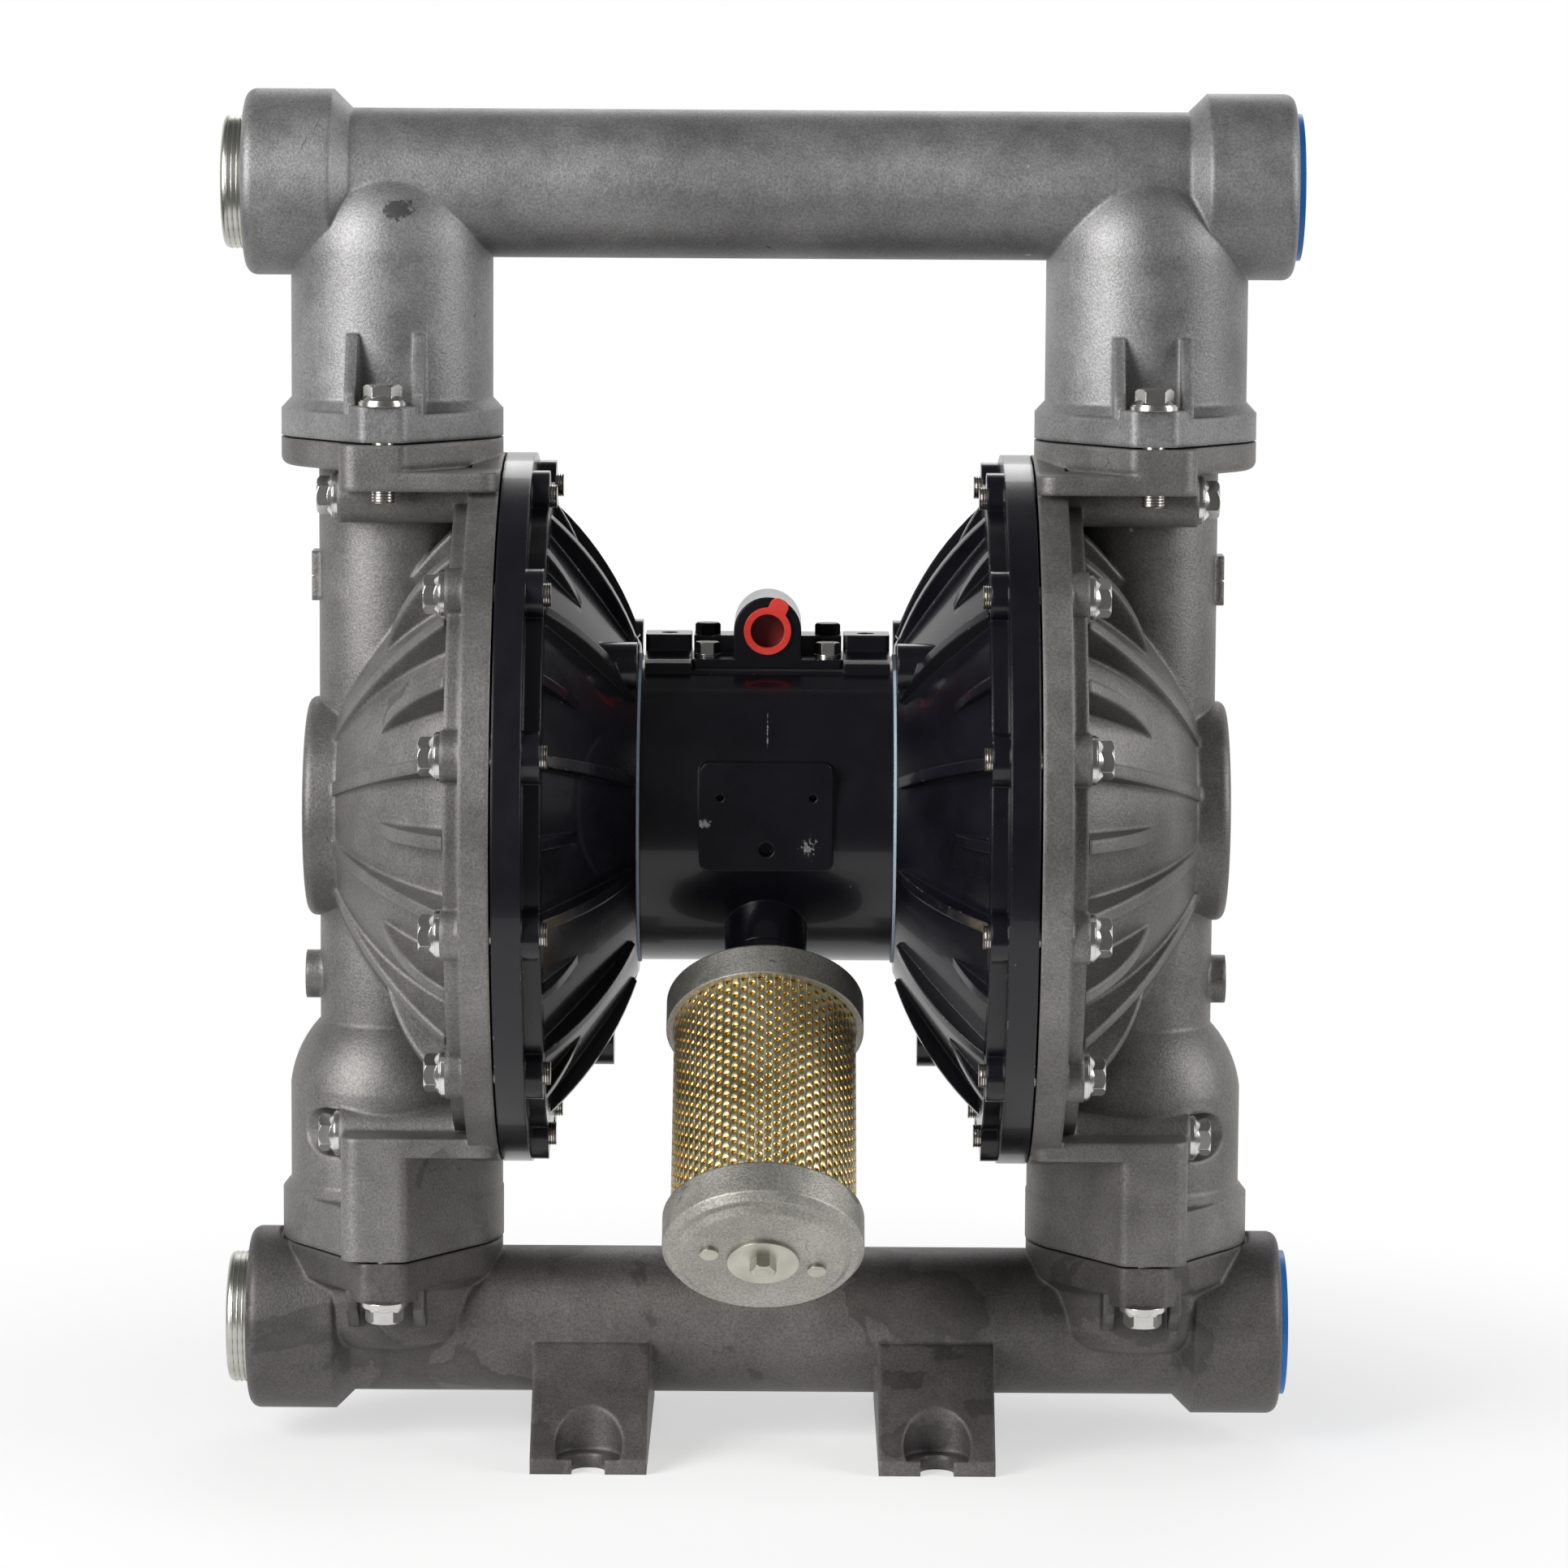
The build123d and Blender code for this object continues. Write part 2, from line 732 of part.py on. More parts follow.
pump_axis = Axis((0, 0, pump_axis_z), (1, 0, 0))
dome_apex = dome_centre_offset + dome_radius
dome_inner = dome_radius - dome_wall
dome_start_radius = sqrt(dome_radius**2 - (band_face - dome_centre_offset) ** 2)
dome_middle = (
    dome_centre_offset + dome_radius * cos(radians(30)),
    dome_radius * sin(radians(30)),
)
chamber_step = dome_centre_offset + sqrt(dome_inner**2 - chamber_radius**2)
chamber_middle = (
    dome_centre_offset + dome_inner * cos(radians(30)),
    dome_inner * sin(radians(30)),
)
long_dome_rib = radial_rib(
    long_rib_points,
    (
        (band_face - 1, rib_root_radius),
        (long_rib_points[-1][0] - dome_wall, long_rib_points[-1][1]),
    ),
    dome_rib_thickness,
)
short_dome_rib = radial_rib(
    short_rib_points,
    (
        (band_face - 1, rib_root_radius),
        (short_rib_points[-1][0] - dome_wall, short_rib_points[-1][1]),
    ),
    dome_rib_thickness,
)

# Flange plate at the top of a fluid column, with a rounded lower edge.
with BuildPart() as upper_flange:
    with BuildSketch():
        add(flange_outline())
    extrude(amount=-upper_flange_thickness)
    fillet(upper_flange.edges().group_by(Axis.Z)[0], flange_edge_fillet)

# Fluid cover: domed shell, ribs, vertical fluid column and the inlet ball's cage.
with BuildPart() as fluid_cover:
    with BuildSketch(Plane.XZ):
        with BuildLine():
            Polyline(
                *turned(
                    [
                        (fluid_face, 0),
                        (fluid_face, rim_radius),
                        (fluid_step, rim_radius),
                        (fluid_step, band_radius),
                        (band_face, band_radius),
                        (band_face, dome_start_radius),
                    ]
                )
            )
            ThreePointArc(
                *turned([(band_face, dome_start_radius), dome_middle, (dome_apex, 0)])
            )
            Line(*turned([(dome_apex, 0), (fluid_face, 0)]))
        make_face()
    revolve(axis=pump_axis)
    with BuildSketch(Plane.XZ):
        with BuildLine():
            Polyline(
                (column_offset, inlet_cover_face),
                (column_offset + lower_collar_radius, inlet_cover_face),
                (
                    column_offset + lower_collar_radius,
                    inlet_cover_face + lower_collar_height,
                ),
                (
                    column_offset + lower_cage_radius,
                    inlet_cover_face + lower_collar_height + lower_collar_chamfer,
                ),
                (column_offset + lower_cage_radius, lower_cage_top_z),
            )
            ThreePointArc(
                (column_offset + lower_cage_radius, lower_cage_top_z),
                (
                    column_offset + lower_cage_shoulder_radius,
                    lower_cage_top_z + lower_cage_shoulder,
                ),
                (column_offset + column_radius, lower_cage_end_z),
            )
            Polyline(
                (column_offset + column_radius, lower_cage_end_z),
                (column_offset + column_radius, outlet_cover_face),
                (column_offset, outlet_cover_face),
                (column_offset, inlet_cover_face),
            )
        make_face()
    revolve(axis=Axis((column_offset, 0, 0), (0, 0, 1)))
    with Locations((column_offset, 0, outlet_cover_face)):
        add(upper_flange.part)
    with BuildSketch(Plane.XY.offset(inlet_cover_face)):
        with Locations((column_offset, 0)):
            add(flange_outline())
    extrude(amount=lower_collar_height)
    with BuildSketch(Plane.XY.offset(inlet_cover_face)):
        with Locations((column_offset, 0)):
            add(flange_outline())
        with Locations((column_offset, 0)):
            Rectangle(
                flange_radius + 1,
                2 * ear_reach,
                align=(Align.MAX, Align.CENTER),
                mode=Mode.INTERSECT,
            )
    extrude(amount=lower_shelf_rise - lower_shelf_thickness)
    ear_block_middle = (ear_block_inner_offset + ear_block_outer_offset) / 2
    ear_block_width = ear_block_outer_offset - ear_block_inner_offset
    with BuildSketch(Plane.XY.offset(inlet_cover_face)):
        with Locations((ear_block_middle, 0)):
            RectangleRounded(ear_block_width, 2 * ear_reach, ear_block_corner)
    extrude(amount=lower_shelf_rise)
    with BuildSketch(Plane.XY.offset(outlet_cover_face)):
        with Locations((ear_block_middle, 0)):
            RectangleRounded(ear_block_width, 2 * ear_reach, ear_block_corner)
    extrude(amount=-upper_shelf_drop)
    shelf_width = ear_block_outer_offset - fluid_face
    shelf_middle = (ear_block_outer_offset + fluid_face) / 2
    with BuildSketch(Plane.XY.offset(inlet_cover_face + lower_shelf_rise)):
        with Locations((shelf_middle, 0)):
            RectangleRounded(shelf_width, 2 * ear_reach, ear_block_corner)
    extrude(amount=-lower_shelf_thickness)
    with BuildSketch(Plane.XY.offset(outlet_cover_face - upper_shelf_drop)):
        with Locations((shelf_middle, 0)):
            RectangleRounded(shelf_width, 2 * ear_reach, ear_block_corner)
    extrude(amount=upper_shelf_thickness)
    with BuildSketch(along_x(hub_pad_face_offset)):
        Circle(hub_pad_radius)
    extrude(amount=-hub_pad_depth)
    pad_rim = fluid_cover.edges().filter_by(GeomType.CIRCLE)
    pad_rim = pad_rim.filter_by_position(
        Axis.X, hub_pad_face_offset - 0.01, hub_pad_face_offset + 0.01
    )
    fillet(pad_rim, hub_pad_fillet)
    with BuildSketch(along_x(small_boss_face_offset, 0, small_boss_z)):
        Circle(small_boss_radius)
    extrude(amount=-hub_pad_depth)
    with BuildSketch(along_x(date_pad_face_offset, 0, date_pad_z)):
        RectangleRounded(date_pad_width, date_pad_height, date_pad_corner)
    extrude(amount=-date_pad_depth)
    with BuildSketch(along_x(date_pad_face_offset, 0, date_pad_z)):
        Rectangle(date_pad_width + 2, date_pad_split)
    extrude(amount=-date_pad_split, mode=Mode.SUBTRACT)
    with BuildSketch(along_x(boss_face)):
        with PolarLocations(bolt_circle_radius, rim_bolt_count, rim_pitch / 2):
            Circle(cover_boss_radius)
    extrude(amount=fluid_step - boss_face)
    with BuildSketch(along_x(long_boss_end_offset)):
        with PolarLocations(bolt_circle_radius, 2, 90 - rim_pitch / 2, rim_pitch * 2):
            Circle(long_boss_radius)
        with PolarLocations(bolt_circle_radius, 2, 270 - rim_pitch / 2, rim_pitch * 2):
            Circle(long_boss_radius)
    extrude(amount=fluid_step - long_boss_end_offset)
    with Locations(*[round_pump_axis(angle) for angle in rim_angles]):
        add(long_dome_rib)
    with Locations(*[round_pump_axis(angle + rim_pitch / 2) for angle in rim_angles]):
        add(short_dome_rib)
    with BuildSketch(Plane.XZ):
        with BuildLine():
            Polyline(
                *turned(
                    [
                        (fluid_face - 1, 0),
                        (fluid_face - 1, clamp_radius + loose_clearance),
                        (clamp_outer_x, clamp_radius + loose_clearance),
                        (clamp_outer_x, chamber_radius),
                        (chamber_step, chamber_radius),
                    ]
                )
            )
            ThreePointArc(
                *turned(
                    [
                        (chamber_step, chamber_radius),
                        chamber_middle,
                        (dome_centre_offset + dome_inner, 0),
                    ]
                )
            )
            Line(*turned([(dome_centre_offset + dome_inner, 0), (fluid_face - 1, 0)]))
        make_face()
    revolve(axis=pump_axis, mode=Mode.SUBTRACT)
    with Locations((column_offset, 0, inlet_cover_face)):
        Cylinder(
            column_bore_radius,
            outlet_cover_face - inlet_cover_face,
            align=low,
            mode=Mode.SUBTRACT,
        )
        Cylinder(cage_radius, cage_neck_rise, align=low, mode=Mode.SUBTRACT)
        Cylinder(
            seat_radius + fit_clearance, seat_depth_above, align=low, mode=Mode.SUBTRACT
        )
    with BuildSketch(Plane.XY.offset(inlet_cover_face + cage_neck_rise)):
        with Locations((column_offset, 0)):
            Circle(cage_neck_radius)
            Rectangle(
                2 * cage_neck_radius, 2 * cage_neck_half_width, mode=Mode.INTERSECT
            )
    extrude(amount=cage_roof - 3.0 - cage_neck_rise, mode=Mode.SUBTRACT)
    with Locations((column_offset, 0, outlet_cover_face)):
        Cylinder(
            seat_radius + fit_clearance, seat_depth_below, align=high, mode=Mode.SUBTRACT
        )
    with BuildSketch(Plane.XY.offset(outlet_cover_face)):
        with Locations((column_offset, 0)):
            Circle(joint_ring_radius + joint_groove_width / 2)
            Circle(joint_ring_radius - joint_groove_width / 2, mode=Mode.SUBTRACT)
    extrude(amount=-(2 * joint_ring_section - joint_gap), mode=Mode.SUBTRACT)
    with Locations(
        (column_offset, -flange_bolt_reach, outlet_cover_face),
        (column_offset, flange_bolt_reach, outlet_cover_face),
    ):
        Cylinder(
            bolt_radius + fit_clearance, upper_shelf_drop, align=high, mode=Mode.SUBTRACT
        )
    with Locations(
        (column_offset, -flange_bolt_reach, inlet_cover_face),
        (column_offset, flange_bolt_reach, inlet_cover_face),
    ):
        Cylinder(
            bolt_radius + fit_clearance, flange_tap_depth, align=low, mode=Mode.SUBTRACT
        )
    with BuildSketch(along_x(fluid_face)):
        with PolarLocations(bolt_circle_radius, rim_bolt_count, rim_pitch / 2):
            Circle(bolt_radius + bolt_clearance)
    extrude(amount=long_boss_end_offset - fluid_face, mode=Mode.SUBTRACT)
    with BuildSketch(along_x(long_boss_end_offset)):
        with PolarLocations(bolt_circle_radius, 2, 270 - rim_pitch / 2, rim_pitch * 2):
            Circle(washer_radius + loose_clearance)
    extrude(amount=spot_face_depth, mode=Mode.SUBTRACT)
    with Locations((column_offset, 0, inlet_cover_face)):
        add(cage_ribs)
save(fluid_cover.part, "right_fluid_cover")
save(mirror(fluid_cover.part, about=Plane.YZ), "left_fluid_cover")

long_air_rib = radial_rib(
    long_air_rib_points, ((lug_face + 2, 120), (62, 76)), air_rib_thickness
)
short_air_rib = radial_rib(
    short_air_rib_points, ((lug_face + 2, 122), (86, 106)), air_rib_thickness
)
hub_screw_angles = [rim_pitch * (number * 3 + 1.5) for number in range(4)]

# Air cover: dished cover between the diaphragm rim and the centre housing.
with BuildPart() as air_cover:
    with BuildSketch(Plane.XZ):
        with BuildLine():
            Polyline(
                *turned(
                    [
                        (hub_offset, hub_radius),
                        (hub_offset, rod_radius + rod_hole_clearance),
                        (hub_offset + air_wall, rod_radius + rod_hole_clearance),
                        (hub_offset + air_wall, hub_radius - 3),
                        (air_chamber_step, chamber_radius),
                        (clamp_inner_x, chamber_radius),
                        (clamp_inner_x, clamp_radius + loose_clearance),
                        (air_face, clamp_radius + loose_clearance),
                        (air_face, rim_radius),
                        (air_step, rim_radius),
                        (air_step, air_band_radius),
                        (lug_face, air_band_radius),
                        (lug_face, air_dome_edge_radius),
                    ]
                )
            )
            ThreePointArc(
                *turned(
                    [
                        (lug_face, air_dome_edge_radius),
                        air_dome_middle,
                        (hub_offset, hub_radius),
                    ]
                )
            )
        make_face()
    revolve(axis=pump_axis)
    with BuildSketch(along_x(lug_face)):
        with PolarLocations(bolt_circle_radius, rim_bolt_count, rim_pitch / 2):
            Circle(air_lug_width / 2)
    extrude(amount=air_band_thickness)
    with Locations(*[round_pump_axis(angle) for angle in rim_angles]):
        add(long_air_rib)
    with Locations(*[round_pump_axis(angle + rim_pitch / 2) for angle in rim_angles]):
        add(short_air_rib)
    with Locations(
        rim_point(hub_boss_angle, hub_offset, hub_boss_circle),
        rim_point(180 - hub_boss_angle, hub_offset, hub_boss_circle),
    ):
        Cylinder(hub_boss_radius, hub_boss_length, rotation=(0, 90, 0), align=low)
    with Locations((drain_boss_offset, 0, pump_axis_z - drain_boss_drop)):
        Cylinder(drain_boss_radius, drain_boss_length, rotation=(0, 90, 0), align=low)
    with BuildSketch(along_x(air_face)):
        with PolarLocations(bolt_circle_radius, rim_bolt_count, rim_pitch / 2):
            Circle(bolt_radius + fit_clearance)
    extrude(amount=lug_face - air_face, mode=Mode.SUBTRACT)
    with BuildSketch(along_x(hub_offset)):
        with Locations((-pilot_reach, pilot_rise)):
            Circle(pilot_radius + pilot_sleeve_wall + loose_clearance)
        with Locations((air_port_reach, 0)):
            Circle(air_port_radius)
        with PolarLocations(hub_screw_circle, 4, rim_pitch * 1.5):
            Circle(small_bolt_radius + bolt_clearance)
    extrude(amount=air_wall, mode=Mode.SUBTRACT)
save(air_cover.part, "right_air_cover")
save(mirror(air_cover.part, about=Plane.YZ), "left_air_cover")

# ================================================================== centre housing
def muffler_place(distance):
    """Point on the muffler axis; local +Z points away from the pump axis."""
    tilt = radians(muffler_tilt)
    axis_plane = Plane(
        origin=(0, 0, pump_axis_z), x_dir=(1, 0, 0), z_dir=(0, -cos(tilt), -sin(tilt))
    )
    return axis_plane.offset(distance).location


top_pad_z = pump_axis_z + top_pad_height
supply_z = pump_axis_z + supply_rise
exhaust_z = pump_axis_z - exhaust_drop
left_port_z = pump_axis_z - left_port_drop
right_port_z = pump_axis_z + right_port_rise
block_screws = [
    (x * block_bolt_offset, y * block_bolt_reach) for x in (-1, 1) for y in (-1, 1)
]
valve_screws = [
    (x * valve_bolt_offset, valve_centre_z + z * valve_bolt_rise)
    for x in (-1, 1)
    for z in (-1, 1)
]
bush_end = housing_half_length - rod_seal_length
bush_start = bush_end - bush_length

# Centre housing: carries rod, pilot spool, valve, air inlet, muffler and both air covers.
with BuildPart() as centre_housing:
    with BuildSketch(along_x(-housing_half_length)):
        Circle(housing_radius)
    extrude(amount=2 * housing_half_length)
    with BuildSketch(along_x(-lug_outer_offset)):
        Circle(saddle_radius)
        Rectangle(
            2 * saddle_half_depth,
            saddle_radius,
            align=(Align.CENTER, Align.MIN),
            mode=Mode.INTERSECT,
        )
    extrude(amount=2 * lug_outer_offset)
    with Locations((0, 0, valve_centre_z)):
        Box(
            2 * (valve_half_width + valve_pad_margin),
            valve_pad_face,
            2 * (valve_half_height + valve_pad_margin),
            align=(Align.CENTER, Align.MIN, Align.CENTER),
        )
    with BuildSketch(Plane.XZ.offset(plate_face)):
        with Locations((0, (plate_low_z + plate_high_z) / 2)):
            RectangleRounded(
                2 * plate_half_width, plate_high_z - plate_low_z, plate_corner
            )
    extrude(amount=-plate_pad_depth)
    with BuildSketch(Plane.XY.offset(pump_axis_z)):
        Rectangle(2 * top_pad_half_width, 2 * top_pad_half_depth)
    extrude(amount=top_pad_height)
    with BuildSketch(Plane.XY.offset(top_pad_z)):
        Rectangle(2 * lug_inner_offset, 2 * housing_radius)
    extrude(amount=saddle_radius, mode=Mode.SUBTRACT)
    lug_middle = (lug_inner_offset + lug_outer_offset) / 2
    with BuildSketch(Plane.XY.offset(top_pad_z - 1)):
        with Locations((-lug_middle, 0), (lug_middle, 0)):
            RectangleRounded(
                lug_outer_offset - lug_inner_offset, 2 * lug_half_depth, lug_corner
            )
    extrude(amount=lug_top_z - top_pad_z + 1)
    for end in (-1, 1):
        with BuildSketch(along_x(end * housing_half_length)):
            Circle(housing_radius - housing_wall)
            Circle(rod_boss_radius, mode=Mode.SUBTRACT)
            with Locations((-pilot_reach, pilot_rise)):
                Circle(pilot_boss_radius, mode=Mode.SUBTRACT)
            with PolarLocations(hub_screw_circle, 4, rim_pitch * 1.5):
                Circle(screw_boss_radius, mode=Mode.SUBTRACT)
        extrude(
            amount=end * (housing_web / 2 - housing_half_length), mode=Mode.SUBTRACT
        )
    with Locations(*[(x, y, top_pad_z) for x, y in block_screws]):
        Cylinder(block_screw_boss_radius, block_screw_boss_depth, align=high)
    with Locations(muffler_place(exhaust_radius)):
        Cylinder(neck_boss_radius, neck_boss_end - exhaust_radius, align=low)
    with Locations((0, 0, pump_axis_z)):
        Cylinder(
            rod_radius + rod_bore_relief,
            2 * housing_half_length,
            rotation=(0, 90, 0),
            mode=Mode.SUBTRACT,
        )
    for end in (-1, 1):
        with BuildSketch(along_x(end * housing_half_length)):
            Circle(rod_radius + bush_wall + fit_clearance)
        extrude(amount=end * (bush_start - housing_half_length), mode=Mode.SUBTRACT)
        with BuildSketch(along_x(end * housing_half_length)):
            with PolarLocations(hub_screw_circle, 4, rim_pitch * 1.5):
                Circle(small_bolt_radius + fit_clearance)
        extrude(amount=-end * screw_depth, mode=Mode.SUBTRACT)
    with BuildSketch(along_x(-housing_half_length)):
        with Locations((-pilot_reach, pilot_rise)):
            Circle(pilot_radius + pilot_sleeve_wall + fit_clearance)
    extrude(amount=2 * housing_half_length, mode=Mode.SUBTRACT)
    with Locations(muffler_place(neck_boss_end)):
        Cylinder(
            neck_radius + fit_clearance, neck_depth, align=high, mode=Mode.SUBTRACT
        )
        Cylinder(
            neck_bore_radius,
            neck_boss_end - exhaust_drop * sqrt(2) + exhaust_radius,
            align=high,
            mode=Mode.SUBTRACT,
        )
    with BuildSketch(Plane.XZ.offset(-valve_pad_face)):
        with Locations((0, exhaust_z)):
            Circle(exhaust_radius)
    extrude(amount=valve_pad_face + exhaust_drop, mode=Mode.SUBTRACT)
    with BuildSketch(Plane.XZ.offset(-valve_pad_face)):
        with Locations((0, supply_z)):
            Circle(supply_radius)
    extrude(amount=valve_pad_face, mode=Mode.SUBTRACT)
    with BuildSketch(Plane.XY.offset(top_pad_z)):
        Circle(air_passage_radius)
    extrude(amount=supply_z - top_pad_z, mode=Mode.SUBTRACT)
    with BuildSketch(Plane.XZ.offset(-valve_pad_face)):
        with Locations((-side_port_offset, left_port_z), (side_port_offset, right_port_z)):
            Circle(side_port_radius)
    extrude(amount=side_port_depth, mode=Mode.SUBTRACT)
    with BuildSketch(Plane.XZ.offset(-valve_pad_face)):
        with Locations(*valve_screws):
            Circle(small_bolt_radius + fit_clearance)
    extrude(amount=small_bolt_depth, mode=Mode.SUBTRACT)
    with BuildSketch(Plane.XY.offset(top_pad_z)):
        with Locations(*block_screws):
            Circle(small_bolt_radius + fit_clearance)
    extrude(amount=-small_bolt_depth, mode=Mode.SUBTRACT)
    with BuildSketch(Plane.XY.offset(lug_top_z)):
        with Locations((-lug_hole_offset, 0), (lug_hole_offset, 0)):
            Circle(lug_hole_radius)
    extrude(amount=-lug_hole_depth, mode=Mode.SUBTRACT)
    with BuildSketch(Plane.XZ.offset(plate_face)):
        with Locations((0, plate_hole_z)):
            Circle(plate_hole_radius)
        with Locations(
            (-rivet_hole_spacing / 2, rivet_hole_z), (rivet_hole_spacing / 2, rivet_hole_z)
        ):
            Circle(rivet_hole_radius)
    extrude(amount=-hole_depth, mode=Mode.SUBTRACT)
save(centre_housing.part, "centre_housing")

# Gasket between the housing and the hub of each air cover.
with BuildPart() as hub_gasket:
    with BuildSketch(along_x(housing_half_length)):
        Circle(hub_gasket_radius)
        Circle(rod_radius + rod_hole_clearance, mode=Mode.SUBTRACT)
        with Locations((-pilot_reach, pilot_rise)):
            Circle(
                pilot_radius + pilot_sleeve_wall + loose_clearance, mode=Mode.SUBTRACT
            )
        with Locations((air_port_reach, 0)):
            Circle(air_port_radius, mode=Mode.SUBTRACT)
        with PolarLocations(hub_screw_circle, 4, rim_pitch * 1.5):
            Circle(small_bolt_radius + bolt_clearance, mode=Mode.SUBTRACT)
    extrude(amount=hub_offset - housing_half_length)
save(hub_gasket.part, "right_hub_gasket")
save(mirror(hub_gasket.part, about=Plane.YZ), "left_hub_gasket")

# Screws that hold each air cover to the housing, from inside the air chamber.
hub_screw_length = air_wall + hub_offset - housing_half_length + screw_depth - 1
hub_screw = socket_screw(hub_screw_length)
with BuildPart() as hub_screws:
    with Locations(
        *[
            Location(rim_point(angle, hub_offset + air_wall, hub_screw_circle), (0, 90, 0))
            for angle in hub_screw_angles
        ]
    ):
        add(hub_screw)
    mirror(about=Plane.YZ)
save(hub_screws.part, "hub_screws")

# ================================================================== rod and diaphragms
with BuildPart() as diaphragm_rod:
    with BuildSketch(along_x(-plate_inner_x)):
        Circle(rod_radius)
    extrude(amount=2 * plate_inner_x)
    chamfer(diaphragm_rod.edges().filter_by(GeomType.CIRCLE), rod_chamfer)
    with BuildSketch(along_x(-plate_inner_x - stud_length)):
        Circle(stud_radius)
    extrude(amount=2 * (plate_inner_x + stud_length))
save(diaphragm_rod.part, "diaphragm_rod")

with BuildPart() as inner_plate:
    with BuildSketch(along_x(plate_inner_x)):
        Circle(inner_plate_radius)
        Circle(stud_radius + fit_clearance, mode=Mode.SUBTRACT)
    extrude(amount=inner_plate_thickness)
    plate_rims = inner_plate.edges().filter_by(GeomType.CIRCLE)
    fillet(plate_rims.sort_by(SortBy.RADIUS)[-2:], plate_edge_fillet)
save(inner_plate.part, "right_inner_plate")
save(mirror(inner_plate.part, about=Plane.YZ), "left_inner_plate")

# Outer plate: domed disc screwed on the rod's stud; it clamps the diaphragm.
plate_dome_rise = outer_plate_crown - outer_plate_rim
plate_dome_radius = (outer_plate_radius**2 + plate_dome_rise**2) / (2 * plate_dome_rise)
outer_plate_middle = (
    clamp_outer_x
    + outer_plate_crown
    - plate_dome_radius
    + sqrt(plate_dome_radius**2 - (outer_plate_radius / 2) ** 2),
    outer_plate_radius / 2,
)
with BuildPart() as outer_plate:
    with BuildSketch(Plane.XZ):
        with BuildLine():
            Polyline(
                *turned(
                    [
                        (clamp_outer_x + outer_plate_crown, 0),
                        (clamp_outer_x, 0),
                        (clamp_outer_x, outer_plate_radius),
                        (clamp_outer_x + outer_plate_rim, outer_plate_radius),
                    ]
                )
            )
            ThreePointArc(
                *turned(
                    [
                        (clamp_outer_x + outer_plate_rim, outer_plate_radius),
                        outer_plate_middle,
                        (clamp_outer_x + outer_plate_crown, 0),
                    ]
                )
            )
        make_face()
    revolve(axis=pump_axis)
    with BuildSketch(along_x(clamp_outer_x)):
        Circle(stud_radius + fit_clearance)
    stud_engagement = stud_length - (clamp_outer_x - plate_inner_x)
    extrude(amount=stud_engagement + 1, mode=Mode.SUBTRACT)
save(outer_plate.part, "right_outer_plate")
save(mirror(outer_plate.part, about=Plane.YZ), "left_outer_plate")

# Diaphragm: flat where it is clamped, with a roll that bulges to the air side.
roll_middle = (diaphragm_roll_inner + diaphragm_roll_outer) / 2
with BuildPart() as diaphragm:
    with BuildSketch(Plane.XZ):
        with BuildLine():
            for face_x in (clamp_outer_x, clamp_inner_x):
                Line(*turned([(face_x, stud_radius + loose_clearance), (face_x, diaphragm_roll_inner)]))
                ThreePointArc(
                    *turned(
                        [
                            (face_x, diaphragm_roll_inner),
                            (face_x - diaphragm_roll_height, roll_middle),
                            (face_x, diaphragm_roll_outer),
                        ]
                    )
                )
                Line(*turned([(face_x, diaphragm_roll_outer), (face_x, clamp_radius)]))
            for end_radius in (stud_radius + loose_clearance, clamp_radius):
                Line(*turned([(clamp_inner_x, end_radius), (clamp_outer_x, end_radius)]))
        make_face()
    revolve(axis=pump_axis)
save(diaphragm.part, "right_diaphragm")
save(mirror(diaphragm.part, about=Plane.YZ), "left_diaphragm")

with BuildPart() as rod_bushes:
    with BuildSketch(along_x(bush_start)):
        Circle(rod_radius + bush_wall)
        Circle(rod_radius + slide_clearance, mode=Mode.SUBTRACT)
    extrude(amount=bush_length)
    mirror(about=Plane.YZ)
save(rod_bushes.part, "rod_bushes")

with BuildPart() as rod_seals:
    with BuildSketch(along_x(bush_end)):
        Circle(rod_radius + bush_wall)
        Circle(rod_radius + slide_clearance, mode=Mode.SUBTRACT)
    extrude(amount=rod_seal_length)
    mirror(about=Plane.YZ)
save(rod_seals.part, "rod_seals")

# Pilot spool: pushed by the inner plates, it tells the main valve to change over.
pilot_half_length = plate_inner_x - pilot_tip_gap
with BuildPart() as pilot_spool:
    with BuildSketch(along_x(-pilot_half_length, -pilot_reach, pump_axis_z + pilot_rise)):
        Circle(pilot_radius)
    extrude(amount=2 * pilot_half_length)
    chamfer(pilot_spool.edges().filter_by(GeomType.CIRCLE), rod_chamfer)
    with BuildSketch(along_x(-pilot_waist_length / 2, -pilot_reach, pump_axis_z + pilot_rise)):
        Circle(pilot_radius)
        Circle(pilot_waist_radius, mode=Mode.SUBTRACT)
    extrude(amount=pilot_waist_length, mode=Mode.SUBTRACT)
save(pilot_spool.part, "pilot_spool")

with BuildPart() as pilot_sleeve:
    with BuildSketch(along_x(-housing_half_length, -pilot_reach, pump_axis_z + pilot_rise)):
        Circle(pilot_radius + pilot_sleeve_wall)
        Circle(pilot_radius + slide_clearance, mode=Mode.SUBTRACT)
    extrude(amount=2 * housing_half_length)
save(pilot_sleeve.part, "pilot_sleeve")

# ================================================================== ball valves
def valve_seat(top_z, x):
    """Seat ring with a spherical seat for the ball."""
    with BuildPart() as seat:
        with Locations((x, 0, top_z)):
            Cylinder(seat_radius, seat_height, align=high)
            Cylinder(seat_bore_radius, seat_height, align=high, mode=Mode.SUBTRACT)
        with Locations((x, 0, top_z + ball_height_on_seat)):
            Sphere(ball_radius + loose_clearance, mode=Mode.SUBTRACT)
    return seat.part


